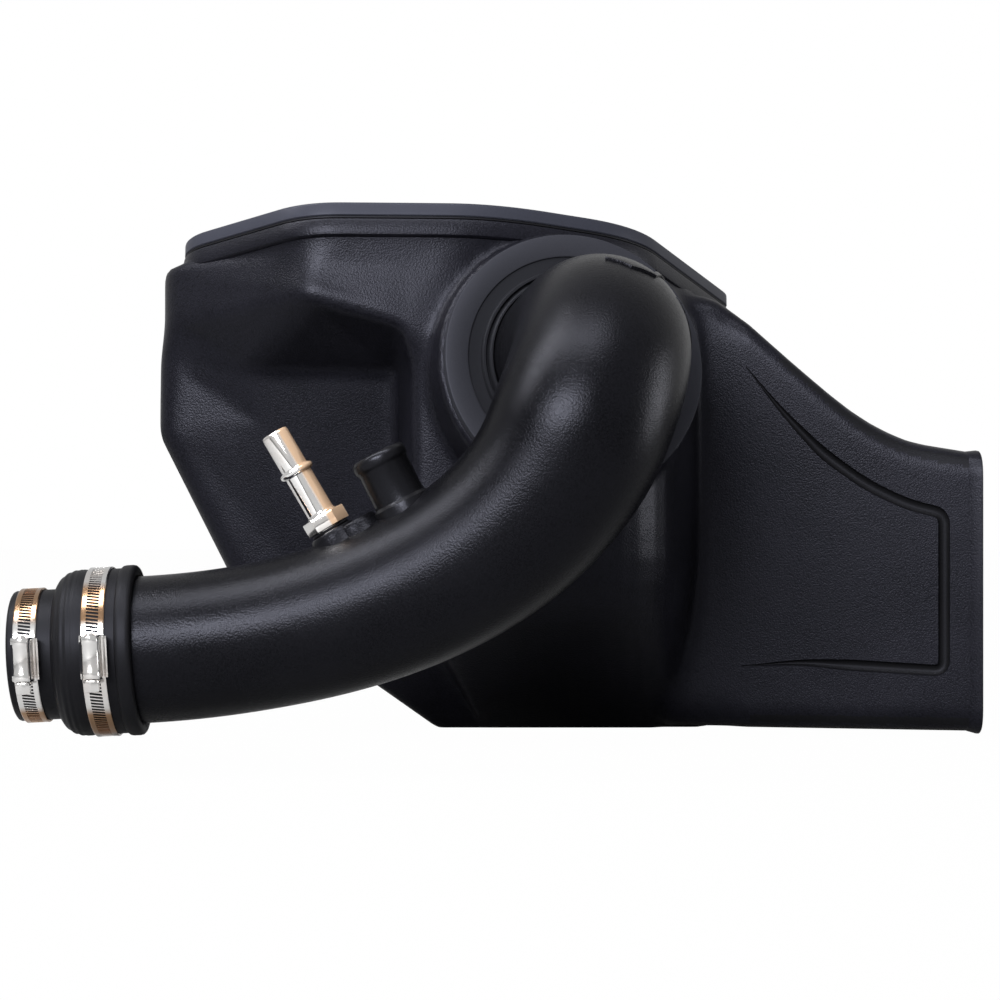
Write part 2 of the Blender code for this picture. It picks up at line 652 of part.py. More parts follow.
def intake_tube():
    """Tapering tube through the ring, round the elbow and down to the coupler, with its boss."""
    tube = add("intake_tube", loft(tube_loops(0)), TEXTURED_PLASTIC)
    boss_axes = axis_frame("boss_axis", fitting_frame(BOSS_AT, BOSS_LEAN))
    face = boss_face()
    foot = BOSS_DIAMETER / 2
    boss = turned([(face - 4 * BOSS_HEIGHT, 1.5 * foot), (face - 2 * BOSS_HEIGHT, 1.25 * foot),
                   (face, foot)], FITTING_SIDES)
    boolean(tube, guide("boss_outside", boss, boss_axes), "UNION")
    bore = tube_loops(-TUBE_WALL)
    for end, inner in ((0, 1), (-1, -2)):
        push = (sum(bore[end], Vector()) - sum(bore[inner], Vector())).normalized() * TUBE_WALL
        bore[end] = [point + push for point in bore[end]]
    boolean(tube, guide("tube_bore", loft(bore)), "DIFFERENCE")
    thread = FITTING_THREAD / 2 + GAP
    thread_hole = turned([(face - 2 * FITTING_THREAD, thread), (face + GAP, thread)], FITTING_SIDES)
    boolean(tube, guide("thread_hole", thread_hole, boss_axes), "DIFFERENCE")
    breather_axes = axis_frame("breather_axis", fitting_frame(BREATHER_AT, BREATHER_LEAN))
    breather_hole = turned([(0, BREATHER_BORE / 2), (BREATHER_REACH, BREATHER_BORE / 2)], FITTING_SIDES)
    boolean(tube, guide("breather_hole", breather_hole, breather_axes), "DIFFERENCE")
    return boss_axes, breather_axes


def breather_nipple(axes):
    """Hose nipple with a bead at its end and a flange that sits on the tube."""
    outer = BREATHER_DIAMETER / 2
    bead = outer + BREATHER_BEAD
    reach = BREATHER_REACH
    flange = outer + BREATHER_FLANGE
    foot = reach - BREATHER_STEM
    bead_top = reach - BREATHER_BEAD_LENGTH / 2
    bead_foot = bead_top - BREATHER_BEAD_LENGTH
    profile = [(0, flange), (foot - BREATHER_FLANGE, flange), (foot, outer),
               (bead_foot - BREATHER_BEAD, outer), (bead_foot, bead), (bead_top, bead), (reach, outer - BREATHER_BEAD),
               (reach, BREATHER_BORE / 2), (0, BREATHER_BORE / 2)]
    nipple = add("breather_nipple", turned(profile, FITTING_SIDES, True), TEXTURED_PLASTIC, axes)
    boolean(nipple, guide("tube_clearance", loft(tube_loops(GAP))), "DIFFERENCE")


def quick_connect(axes):
    """Turned spigot with a hex, a thread in the boss and a sealing washer under the hex."""
    face = boss_face()
    foot = face + GAP + WASHER_THICKNESS + GAP
    hex_top = foot + FITTING_HEX_HEIGHT
    tip = hex_top + FITTING_STEM
    stem, bore = FITTING_DIAMETER / 2, FITTING_BORE / 2
    thread = FITTING_THREAD / 2
    bead, flat = FITTING_BEAD / 2, FITTING_HEX / 2
    bead_low = tip - FITTING_BEAD_FROM_TIP
    bead_high = bead_low + FITTING_BEAD_LENGTH
    slant = 0.75 * FITTING_BEAD_LENGTH
    chamfer = FITTING_BEAD_LENGTH / 2
    profile = [(face - FITTING_THREAD, thread), (foot, thread), (foot, flat, 6), (hex_top, flat, 6),
               (hex_top, stem), (bead_low - slant, stem), (bead_low, bead), (bead_high, bead),
               (bead_high + slant, stem), (tip - chamfer, stem), (tip, stem - chamfer), (tip, bore),
               (face - FITTING_THREAD, bore)]
    add("quick_connect_fitting", turned(profile, FITTING_SIDES, True), STEEL, axes)
    low, high = face + GAP, face + GAP + WASHER_THICKNESS
    washer = [(low, thread + GAP), (low, flat), (high, flat), (high, thread + GAP)]
    add("quick_connect_seal", turned(washer, FITTING_SIDES, True), BLACK_RUBBER, axes)


def reducer_coupler():
    """Stepped rubber sleeve from the tube to the throttle side."""
    large_bore = TUBE_COUPLER_DIAMETER / 2 + GAP
    small_bore = COUPLER_BORE / 2
    large, small = large_bore + COUPLER_WALL, small_bore + COUPLER_WALL
    small_start = COUPLER_LENGTH - COUPLER_SMALL_LENGTH
    middle = (COUPLER_LARGE_LENGTH + small_start) / 2
    bead = large + COUPLER_BEAD
    seat = COUPLER_LARGE_LENGTH + GAP
    shoulder = (COUPLER_LARGE_LENGTH + middle) / 2
    bevel = 2 * COUPLER_BEAD / 3
    profile = [(0, large), (bevel, bead), (COUPLER_BEAD_LENGTH - bevel, bead), (COUPLER_BEAD_LENGTH, large),
               (COUPLER_LARGE_LENGTH, large), (shoulder, 0.75 * large + 0.25 * small),
               (middle, 0.35 * large + 0.65 * small), (small_start - bevel, small), (COUPLER_LENGTH, small),
               (COUPLER_LENGTH, small_bore), (small_start, small_bore), (middle, small_bore + COUPLER_BEAD),
               (seat, large_bore - TUBE_WALL), (seat, large_bore), (0, large_bore)]
    add("reducer_coupler", turned(profile, HOSE_SIDES, True), BLACK_RUBBER, COUPLER_AXES)


def worm_clamp(name, frame, radius):
    """Worm-drive clamp round +Z of a frame: a band, a housing on its +X side and the worm screw."""
    axes = axis_frame(name + "_axis", frame)
    low, high = -BAND_WIDTH / 2, BAND_WIDTH / 2
    inner, outer = radius + GAP, radius + GAP + BAND_THICKNESS
    band = [(low, inner), (low, outer), (high, outer), (high, inner)]
    add(name + "_band", turned(band, HOSE_SIDES, True), STEEL, axes)
    worm = WORM_DIAMETER / 2
    hole = worm + GAP
    centre = outer + GAP + HOUSING_WALL + hole
    foot = outer + GAP
    crown = hole + HOUSING_WALL
    half, side = HOUSING_LENGTH / 2, HOUSING_WIDTH / 2
    points = 20
    arch, round_hole = [], []
    for i in range(points):
        angle = 2 * pi * i / points
        round_hole.append((centre + hole * sin(angle), hole * cos(angle)))
        height, across = crown * sin(angle), crown * cos(angle)
        if sin(angle) < -0.05:
            height, across = foot - centre, max(-side, min(side, 1.9 * crown * cos(angle)))
        elif sin(angle) < 0.05:
            height = (foot - centre) * 0.55
            across = side * (1 if cos(angle) > 0 else -1)
        arch.append((centre + height, across))
    loops = [[Vector((x, y, z)) for x, z in loop] for loop, y in
             ((arch, -half), (arch, half), (round_hole, half), (round_hole, -half))]
    add(name + "_housing", loft(loops, True), STEEL, axes)
    worm_frame = frame @ Matrix.Translation((centre, 0, 0)) @ Matrix.Rotation(pi / 2, 4, "X")
    worm_axes = axis_frame(name + "_worm_axis", worm_frame)
    head = WORM_HEAD / 2
    flange = 1.2 * head
    collar = half + GAP
    hex_foot = collar + WORM_COLLAR
    screw = [(-half - HOUSING_WALL, worm / 2), (-half, worm), (collar, worm), (collar, flange),
             (hex_foot, flange), (hex_foot, head, 6), (hex_foot + WORM_HEAD_LENGTH, head, 6)]
    add(name + "_screw", turned(screw, WORM_SIDES), STEEL, worm_axes)


def filter_neck_start():
    """Distance behind the ring's face at which the filter's neck starts."""
    return RING_THICKNESS + 4 * WALL


def air_filter():
    """Cone filter on the tube's inner end: moulded base, pleated cotton and a closed cap."""
    start = -filter_neck_start()
    neck_in = TUBE_FILTER_DIAMETER / 2 + GAP
    neck_out = neck_in + FILTER_NECK_WALL
    base_front = start - FILTER_NECK
    base_back = base_front - FILTER_BASE_THICKNESS
    wide = FILTER_BASE_DIAMETER / 2
    bevel = FILTER_CAP / 3
    stop = neck_in - TUBE_WALL
    base = [(start, neck_in), (start, neck_out), (base_front, neck_out), (base_front, wide - bevel),
            (base_front - bevel, wide), (base_back, wide), (base_back, stop), (base_front, stop),
            (base_front, neck_in)]
    add("filter_base", turned(base, PORT_SIDES, True), BLACK_RUBBER, PORT_AXES)
    media_front = base_back - GAP
    media_back = media_front - FILTER_LENGTH
    tip = FILTER_TIP_DIAMETER / 2

    def pleated(height, radius):
        points = []
        for i in range(2 * PLEATS):
            angle = pi * i / PLEATS
            reach = radius - (PLEAT_DEPTH if i % 2 else 0)
            points.append(Vector((reach * cos(angle), reach * sin(angle), height)))
        return points

    inside = PLEAT_DEPTH + FILTER_INNER_WALL
    crest = wide - FILTER_INNER_WALL / 2
    loops = [pleated(media_front, crest), pleated(media_back, tip),
             circle(media_back, tip - inside, 2 * PLEATS), circle(media_front, crest - inside, 2 * PLEATS)]
    add("filter_media", loft(loops, True), FILTER_COTTON, PORT_AXES)
    cap = media_back - GAP
    end_cap = [(cap, tip + bevel), (cap - 2 * bevel, tip + bevel), (cap - FILTER_CAP, tip - bevel)]
    add("filter_end_cap", turned(end_cap, PORT_SIDES), BLACK_RUBBER, PORT_AXES)
    return PORT_FRAME @ Matrix.Translation((0, 0, start - FILTER_NECK / 2)), neck_out


def mount_bracket():
    """Bent steel tab on the ramp of the duct, with its screw."""
    stations = duct_stations()
    first, second = stations[6], stations[7]
    slope = (second - first).normalized()
    middle = (-DUCT_FRONT + DUCT_BACK) / 2
    run = (first.x - DUCT_START) / (MOUTH_X - DUCT_START)
    front = -DUCT_FRONT + run * (DUCT_FRONT - MOUTH_FRONT)
    lead = (DUCT_FRONT - MOUTH_FRONT) / (MOUTH_X - DUCT_START)
    along = Vector((1, 0, slope.y / slope.x + tan(LID_TILT) * lead))
    back_dir = Vector((0, 1, -tan(LID_TILT)))
    up = along.cross(back_dir).normalized()
    along.normalize()
    place = Vector((first.x, middle, first.y - tan(LID_TILT) * (middle - front)))
    frame = Matrix.Identity(4)
    frame.col[0] = (*along, 0)
    frame.col[1] = (*up.cross(along), 0)
    frame.col[2] = (*up, 0)
    frame.col[3] = (*place, 1)
    axes = axis_frame("bracket_plane", frame)
    low, rise, thick = GAP, BRACKET_STEP, BRACKET_THICKNESS
    foot, tab = BRACKET_FOOT, BRACKET_FOOT + BRACKET_TAB
    crank = foot - 0.4 * thick
    profile = [(0, low), (foot, low), (foot + rise, low + rise), (tab, low + rise),
               (tab, low + rise + thick), (crank + rise, low + rise + thick), (crank, low + thick), (0, low + thick)]
    loops = [[Vector((x, y, z)) for x, z in profile] for y in (-BRACKET_WIDTH / 2, BRACKET_WIDTH / 2)]
    bracket = add("mount_bracket", loft(loops), STEEL, axes)
    shank, head = SCREW_DIAMETER / 2, SCREW_HEAD / 2
    hole = turned([(-2 * WALL, shank + GAP), (4 * WALL, shank + GAP)], SCREW_SIDES)
    cutter = guide("bracket_hole", hole, axes)
    cutter.location = (foot / 2, 0, 0)
    boolean(bracket, cutter, "DIFFERENCE")
    boolean(bpy.data.objects["airbox_body"], cutter, "DIFFERENCE")
    top = low + thick + GAP
    crown = top + BRACKET_HEAD
    profile = [(-WALL, shank), (top, shank), (top, head), (crown - 0.4 * BRACKET_HEAD, head),
               (crown, 0.7 * head)]
    screw = add("bracket_screw", turned(profile, SCREW_SIDES), STEEL, axes)
    screw.location = (foot / 2, 0, 0)


airbox_body()
lid_and_seal()
seal_ring()
duct_trim()
boss_axes, breather_axes = intake_tube()
breather_nipple(breather_axes)
quick_connect(boss_axes)
reducer_coupler()
facing = Matrix.Rotation(-pi / 2, 4, "Z")
large_radius = TUBE_COUPLER_DIAMETER / 2 + GAP + COUPLER_WALL
tube_clamp_at = (COUPLER_BEAD_LENGTH + COUPLER_LARGE_LENGTH) / 2 + COUPLER_BEAD
worm_clamp("tube_clamp", COUPLER_FRAME @ Matrix.Translation((0, 0, tube_clamp_at)) @ facing, large_radius)
outer_clamp_at = COUPLER_LENGTH - COUPLER_SMALL_LENGTH / 2 + COUPLER_BEAD
worm_clamp("outer_clamp", COUPLER_FRAME @ Matrix.Translation((0, 0, outer_clamp_at)) @ facing,
           COUPLER_BORE / 2 + COUPLER_WALL)
neck_frame, neck_radius = air_filter()
worm_clamp("filter_clamp", neck_frame, neck_radius)
mount_bracket()
bpy.context.view_layer.update()
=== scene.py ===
"""Looks of an enclosed cold-air intake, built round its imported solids.

Metres, +Z up. The duct mouth points to +X and the tube port looks towards -Y.
"""

from math import atan2, cos, pi, radians, sin, tan

import bmesh
import bpy
from mathutils import Matrix, Vector


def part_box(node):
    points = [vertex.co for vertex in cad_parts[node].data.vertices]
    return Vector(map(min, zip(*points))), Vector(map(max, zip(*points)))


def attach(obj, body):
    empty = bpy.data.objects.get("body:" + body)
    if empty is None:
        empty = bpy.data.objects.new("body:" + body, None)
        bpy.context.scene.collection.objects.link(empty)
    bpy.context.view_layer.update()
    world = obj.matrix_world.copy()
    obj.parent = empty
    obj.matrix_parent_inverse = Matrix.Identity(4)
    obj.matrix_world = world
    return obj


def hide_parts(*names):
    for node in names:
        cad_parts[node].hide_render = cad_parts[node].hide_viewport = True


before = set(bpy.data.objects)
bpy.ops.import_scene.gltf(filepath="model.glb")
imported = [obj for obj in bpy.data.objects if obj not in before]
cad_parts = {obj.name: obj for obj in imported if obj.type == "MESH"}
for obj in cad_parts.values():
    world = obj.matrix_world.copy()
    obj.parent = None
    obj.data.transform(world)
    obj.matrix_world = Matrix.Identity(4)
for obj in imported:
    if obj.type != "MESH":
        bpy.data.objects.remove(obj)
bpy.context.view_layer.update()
scene = bpy.context.scene
scene.view_settings.view_transform = "Standard"

# Camera: a long lens square to the front, level with the middle of the tube.
# It stands where the photograph was taken from.
camera_data = bpy.data.cameras.new("photo_camera")
camera_data.lens = 90
camera_data.sensor_width = 36
camera = bpy.data.objects.new("photo_camera", camera_data)
camera.location = (-0.0453, -1.6825, 0.150)
camera.rotation_euler = (pi / 2, 0, 0)
scene.collection.objects.link(camera)
scene.camera = camera


# Airbox body: black rotomoulded plastic with a pebble grain, one hollow shell with its inlet duct.
# Box, duct and barrel are remeshed into one skin and hollowed, and a tapering groove is cut in the
# duct's front. The lid, the seal ring and the bracket are fixed to it.
class Shade:
    """A shader socket that can be used in sums, with one method for any other node."""

    def __init__(self, tree, socket):
        self.tree = tree
        self.socket = socket

    def feed(self, target, value):
        """Give an input a number or a colour, or link another socket to it."""
        if isinstance(value, Shade):
            self.tree.links.new(value.socket, target)
        else:
            target.default_value = value

    def node(self, kind, output=0, settings=(), **inputs):
        """Output of a new node; inputs are given by name, with spaces as underscores."""
        made = self.tree.nodes.new(kind)
        for key, value in dict(settings).items():
            setattr(made, key, value)
        for key, value in inputs.items():
            self.feed(made.inputs[key.replace("_", " ")], value)
        return Shade(self.tree, made.outputs[output])

    def maths(self, operation, first, second):
        """Output of a sum of two values."""
        made = self.tree.nodes.new("ShaderNodeMath")
        made.operation = operation
        for target, value in zip(made.inputs, (first, second)):
            self.feed(target, value)
        return Shade(self.tree, made.outputs[0])

    def __add__(self, other):
        return self.maths("ADD", self, other)

    def __sub__(self, other):
        return self.maths("SUBTRACT", self, other)

    def __mul__(self, other):
        return self.maths("MULTIPLY", self, other)

    def __rsub__(self, other):
        return self.maths("SUBTRACT", other, self)

    __radd__ = __add__
    __rmul__ = __mul__

    def ramp(self, low, high):
        """This value spread from 0 at low to 1 at high."""
        return self.node("ShaderNodeMapRange", Value=self, From_Min=low, From_Max=high)

    def colours(self, dark, light):
        """A colour between two, chosen by this value."""
        made = self.tree.nodes.new("ShaderNodeMix")
        made.data_type = "RGBA"
        factor, first, second, result = 0, 6, 7, 2
        self.feed(made.inputs[factor], self)
        self.feed(made.inputs[first], (*dark, 1))
        self.feed(made.inputs[second], (*light, 1))
        return Shade(self.tree, made.outputs[result])

    def to(self, shader, name):
        """Link this value to an input of a shader."""
        self.tree.links.new(self.socket, shader.inputs[name])


def start_material(name):
    """A new material with its shader and its object coordinates."""
    material = bpy.data.materials.new(name)
    material.use_nodes = True
    tree = material.node_tree
    shader = tree.nodes["Principled BSDF"]
    place = Shade(tree, tree.nodes.new("ShaderNodeTexCoord").outputs["Object"])
    return material, shader, place


def moulded(name, dark, light, roughness, pebble, depth, gloss=0.16, spread=0.08):
    """Moulded plastic or rubber: a pebble grain of a given size and depth, uneven gloss, faint dust."""
    material, shader, place = start_material(name)
    cells = place.node("ShaderNodeTexVoronoi", "Distance", {"feature": "SMOOTH_F1"}, Vector=place,
                       Scale=1 / pebble, Smoothness=0.8)
    fine = place.node("ShaderNodeTexNoise", "Fac", Vector=place, Scale=2.2 / pebble, Detail=3.0)
    broad = place.node("ShaderNodeTexNoise", "Fac", Vector=place, Scale=14.0, Detail=4.0)
    domes = 1 - cells
    height = domes * 0.7 + fine * 0.5
    place.node("ShaderNodeBump", "Normal", Strength=1.0, Distance=depth, Height=height).to(shader, "Normal")
    shader.inputs["Specular IOR Level"].default_value = gloss
    shader.inputs["Specular Tint"].default_value = (0.80, 0.82, 1.0, 1)
    speckle = broad * 0.35 + fine * 0.35 + domes * 0.3
    speckle.ramp(0.38, 0.66).colours(dark, light).to(shader, "Base Color")
    (roughness + (broad - 0.5) * spread * 2 + (fine - 0.5) * spread).to(shader, "Roughness")
    return material


pebble_plastic = moulded("pebble_plastic", dark=(0.0016, 0.0016, 0.0024), light=(0.0072, 0.0072, 0.0104),
                         roughness=0.34, pebble=0.0010, depth=0.00018, gloss=0.12)
# Besides the rubber parts, this also serves as painted shade in the duct's groove and in the clamp housings'
# side openings.
black_rubber = moulded("black_rubber", dark=(0.0030, 0.0030, 0.0034), light=(0.0052, 0.0052, 0.0058),
                       roughness=0.48, pebble=0.0007, depth=0.00004, gloss=0.10)


def piece(name, shape, material, body="intake", replaced=(), sharp=35):
    """A finished piece: its mesh, its material, the body it rides on and the nodes it stands for."""
    mesh = bpy.data.meshes.new(name)
    bmesh.ops.recalc_face_normals(shape, faces=shape.faces)
    shape.to_mesh(mesh)
    shape.free()
    mesh.materials.append(material)
    mesh.shade_smooth()
    mesh.set_sharp_from_angle(angle=radians(sharp))
    item = bpy.data.objects.new(name, mesh)
    scene.collection.objects.link(item)
    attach(item, body)
    if replaced:
        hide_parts(*replaced)
    return item


def fill_ends(shape):
    """Close the open ends of a shape, each with one face."""
    bmesh.ops.holes_fill(shape, edges=[edge for edge in shape.edges if edge.is_boundary], sides=0)


def loft(loops, ring=False):
    """A closed shape drawn through loops of equal counts: capped at both ends, or closed into a ring."""
    shape = bmesh.new()
    place = shape.verts.layers.int.new("place")
    first = [shape.verts.new(point) for point in loops[0]]
    for number, vert in enumerate(first):
        vert[place] = number
    edges = [shape.edges.new(pair) for pair in zip(first[1:] + first[:1], first)]
    last = first
    for loop in loops[1:] + (loops[:1] if ring else []):
        drawn = bmesh.ops.extrude_edge_only(shape, edges=edges)["geom"]
        edges = [item for item in drawn if isinstance(item, bmesh.types.BMEdge) and item.is_boundary]
        last = [item for item in drawn if isinstance(item, bmesh.types.BMVert)]
        for vert in last:
            vert.co = loop[vert[place]]
    if ring:
        bmesh.ops.weld_verts(shape, targetmap={vert: first[vert[place]] for vert in last})
    else:
        fill_ends(shape)
    return shape


def turned(profile, segments, axis, ring=True):
    """A shape spun round +Z of an axis from (height, radius) or (height, radius, sides) stations."""
    shape = bmesh.new()
    flats = shape.verts.layers.int.new("flats")
    line = []
    for height, radius, *sides in profile:
        line.append(shape.verts.new((radius, 0, height)))
        line[-1][flats] = sum(sides)
    edges = [shape.edges.new(pair) for pair in zip(line, line[1:])]
    if ring:
        edges.append(shape.edges.new((line[-1], line[0])))
    bmesh.ops.spin(shape, geom=line + edges, cent=(0, 0, 0), axis=(0, 0, 1), angle=2 * pi, steps=segments,
                   use_merge=True)
    for vert in shape.verts:
        if vert[flats]:
            face_turn = 2 * pi / vert[flats]
            angle = atan2(vert.co.y, vert.co.x)
            vert.co.xy /= cos(angle % face_turn - face_turn / 2)
    if not ring:
        fill_ends(shape)
    bmesh.ops.transform(shape, matrix=axis, verts=shape.verts)
    return shape


def rounded(points, setbacks, steps, closed):
    """A line of points with each corner replaced by a curve that starts a setback before it."""
    result = []
    count = len(points)
    for i, corner in enumerate(points):
        if not closed and i in (0, count - 1):
            result.append(corner.copy())
            continue
        before = points[i - 1] - corner
        after = points[(i + 1) % count] - corner
        start = corner + before.normalized() * min(setbacks[i], 0.45 * before.length)
        end = corner + after.normalized() * min(setbacks[i], 0.45 * after.length)
        for k in range(steps + 1):
            t = k / steps
            result.append(start * (1 - t) ** 2 + corner * (2 * t * (1 - t)) + end * t ** 2)
    return result


def settled(shape, *steps):
    """The shape after modifiers, each given as its kind and its settings."""
    mesh = bpy.data.meshes.new("settling")
    shape.to_mesh(mesh)
    item = bpy.data.objects.new("settling", mesh)
    scene.collection.objects.link(item)
    for kind, settings in steps:
        step = item.modifiers.new(kind.lower(), kind)
        for key, value in settings.items():
            setattr(step, key, value)
    bpy.context.view_layer.update()
    evaluated = item.evaluated_get(bpy.context.evaluated_depsgraph_get())
    shape.clear()
    shape.from_mesh(evaluated.to_mesh())
    evaluated.to_mesh_clear()
    bpy.data.objects.remove(item, do_unlink=True)
    bpy.data.meshes.remove(mesh)
    return shape


def tool(name, shape):
    """An object that other shapes are cut with."""
    mesh = bpy.data.meshes.new(name)
    bmesh.ops.recalc_face_normals(shape, faces=shape.faces)
    shape.to_mesh(mesh)
    shape.free()
    item = bpy.data.objects.new(name, mesh)
    scene.collection.objects.link(item)
    return item


def joined(shapes):
    """Several closed shapes as one."""
    whole = bmesh.new()
    mesh = bpy.data.meshes.new("joining")
    for shape in shapes:
        bmesh.ops.recalc_face_normals(shape, faces=shape.faces)
        shape.to_mesh(mesh)
        whole.from_mesh(mesh)
        shape.free()
    bpy.data.meshes.remove(mesh)
    return whole


duct_root_x, duct_length = 0.060, 0.1985
duct_mouth_x = duct_root_x + duct_length
duct_front_y, duct_front_lean = -0.0625, 0.038
duct_back_y, duct_back_lean = 0.030, 0.0125
duct_floor_z = 0.0025
duct_edge_round = 0.016


def duct_face(x, z):
    """Point on the front face of the duct."""
    return Vector((x, duct_front_y - (x - duct_root_x) / duct_length * duct_front_lean, z))


groove_width = 0.0074
groove_depth = 0.0034
groove_sides = 14
fade_in, fade_out, thinnest = 0.075, 0.070, 0.06
groove_marks = ((0.113, 0.236), (0.135, 0.208), (0.161, 0.180), (0.188, 0.160), (0.214, 0.147),
                (0.2365, 0.1415), (0.2365, 0.0415), (0.188, 0.044), (0.148, 0.046), (0.110, 0.043))
groove_rounds = [0.012] * 5 + [0.007] * 2 + [0.012] * 3
groove_line = rounded([duct_face(x, z) for x, z in groove_marks], groove_rounds, 5, False)
groove_length = sum((b - a).length for a, b in zip(groove_line, groove_line[1:]))
face_out = Vector((-duct_front_lean / duct_length, -1, 0)).normalized()
groove_loops = []
run = 0.0
for i, point in enumerate(groove_line):
    ahead = groove_line[min(i + 1, len(groove_line) - 1)] - groove_line[max(i - 1, 0)]
    side = ahead.cross(face_out).normalized()
    if i:
        run += (point - groove_line[i - 1]).length
    fade = max(thinnest, min(1, run / fade_in, (groove_length - run) / fade_out))
    across = side * (groove_width / 2 * fade)
    inwards = face_out * (groove_depth * fade ** 0.5)
    angles = [2 * pi * k / groove_sides for k in range(groove_sides)]
    groove_loops.append([point + across * cos(angle) + inwards * sin(angle) for angle in angles])
groove_tool = tool("groove_tool", loft(groove_loops))

lid_lean = radians(12)
lid_frame = Matrix.Translation((0, -0.1675, 0.331)) @ Matrix.Rotation(-lid_lean, 4, "X")
lid_corners = ((-0.247, 0.2065), (-0.247, 0.071), (-0.164, 0.0), (-0.110, 0.001), (-0.048, 0.003),
               (0.040, 0.046), (0.0704, 0.1102), (0.116, 0.2065))
lid_plan = [Vector((x, y, 0)) for x, y in lid_corners]
lid_rounds = [0.022] * 4 + [0.0352] * 2 + [0.022] * 2


def inset(corners, shrink):
    """Plan corners moved inwards, each at its own height."""
    moved = []
    for i, corner in enumerate(corners):
        along_in = (corner - corners[i - 1]).to_2d().normalized()
        along_out = (corners[(i + 1) % len(corners)] - corner).to_2d().normalized()
        normal_in = Vector((-along_in.y, along_in.x, 0))
        normal_out = Vector((-along_out.y, along_out.x, 0))
        inward = (normal_in + normal_out).normalized()
        moved.append(corner + inward * (shrink / max(0.3, inward.dot(normal_in))))
    return moved


def lid_loop(drop, shrink, steps=10):
    """Rounded outline of the lid and the rim at a depth, moved inwards, in the part's own frame."""
    return [lid_frame @ (point + Vector((0, 0, -drop)))
            for point in rounded(inset(lid_plan, shrink), lid_rounds, steps, True)]


# Corners of the box from its neck down to its floor, eight to a level: back left, front left, the two
# of the recess, the block's left edge, the block's right edge, the seam with the duct, back right.
front, recess, back, left, seam_y, floor_front = -0.1705, -0.1125, 0.0375, -0.0945, -0.0560, -0.0375
box_levels = [
    [(-0.260, back, 0.270), (-0.260, left, 0.2985), (-0.164, -0.1690, 0.2911), (-0.110, -0.1690, 0.2909),
     (-0.076, -0.1690, 0.2905), (0.048, -0.1455, 0.2816), (0.080, -0.0600, 0.2682), (0.118, back, 0.2482)],
    [(-0.260, back, 0.2292), (-0.260, left, 0.2641), (-0.164, -0.1745, 0.2741), (-0.110, -0.1745, 0.2569),
     (-0.098, -0.1735, 0.2511), (0.048, front, 0.2511), (0.086, seam_y, 0.2461), (0.118, back, 0.2292)],
    [(-0.260, back, 0.2101), (-0.263, left, 0.2411), (-0.200, recess, 0.2311), (-0.110, recess, 0.2311),
     (-0.098, front, 0.2311), (0.048, front, 0.2311), (0.086, seam_y, 0.2311), (0.118, back, 0.2101)],
    [(-0.260, back, 0.1911), (-0.263, -0.0985, 0.1911), (-0.182, -0.1090, 0.1911), (-0.110, -0.1080, 0.1911),
     (-0.098, front, 0.1911), (0.048, front, 0.1911), (0.086, seam_y, 0.1911), (0.118, back, 0.1911)],
    [(-0.214, back, 0.0950), (-0.214, -0.1000, 0.0950), (-0.1605, -0.1030, 0.0950),
     (-0.110, -0.0990, 0.0950), (-0.098, front, 0.0950), (0.048, front, 0.0950), (0.086, seam_y, 0.0950),
     (0.118, back, 0.0950)],
    [(-0.088, back, 0.0), (-0.088, floor_front, 0.0), (-0.0757, floor_front, 0.0),
     (-0.0634, floor_front, 0.0), (-0.051, floor_front, 0.0), (0.048, floor_front, 0.0),
     (0.090, floor_front, 0.0), (0.108, back, 0.0)]]
box_rounds = [0.022, 0.016, 0.010, 0.008, 0.010, 0.048, 0.030, 0.022]
plan_steps = 6
edge_softness, block_knee, recess_knee = 0.006, 0.036, 0.012
block_columns = 4 * (plan_steps + 1)


def box_solid(top, shrink, floor_z):
    """The box below some top loops, moved inwards, with soft edges and a softer knee under the block."""
    rows = list(top)
    for corners in box_levels:
        level = [Vector((x, y, max(z, floor_z))) for x, y, z in corners]
        rows.append(rounded(inset(level, shrink), box_rounds, plan_steps, True))
    columns = []
    for number, column in enumerate(zip(*rows)):
        knee = block_knee if number >= block_columns else recess_knee
        softness = [edge_softness] * (len(rows) - 2) + [knee, edge_softness]
        columns.append(rounded(list(column), softness, 4, False))
    return loft([list(row) for row in zip(*columns)])


# The duct's top falls to the back by the lid's slope up to fall_full_x, and not at all from fall_none_x on.
fall_full_x, fall_none_x, fall_slope = 0.146, 0.200, tan(lid_lean)
ramp_corners = ((duct_root_x, 0.2842), (0.0921, 0.2882), (0.1999, 0.1900), (duct_mouth_x, 0.1800))
ramp = rounded([Vector(corner) for corner in ramp_corners], [0, 0.0113, 0.045, 0], 5, False)
crest = max(i for i, (x, top) in enumerate(ramp) if x < fall_full_x)
share = (fall_full_x - ramp[crest].x) / (ramp[crest + 1].x - ramp[crest].x)
ramp.insert(crest + 1, ramp[crest].lerp(ramp[crest + 1], share))


def duct_loop(x, top, grow):
    """Rounded section of the duct at x, grown outwards."""
    along = (x - duct_root_x) / duct_length
    near = duct_front_y - along * duct_front_lean - grow
    far = duct_back_y - along * duct_back_lean + grow
    fall = fall_slope * min(1, max(0, (fall_none_x - x) / (fall_none_x - fall_full_x))) * (far - near)
    low, high = duct_floor_z - grow, top + grow
    corners = [Vector((x, y, z)) for y, z in ((near, low), (far, low), (far, high - fall), (near, high))]
    return rounded(corners, [duct_edge_round + grow] * 4, 8, True)


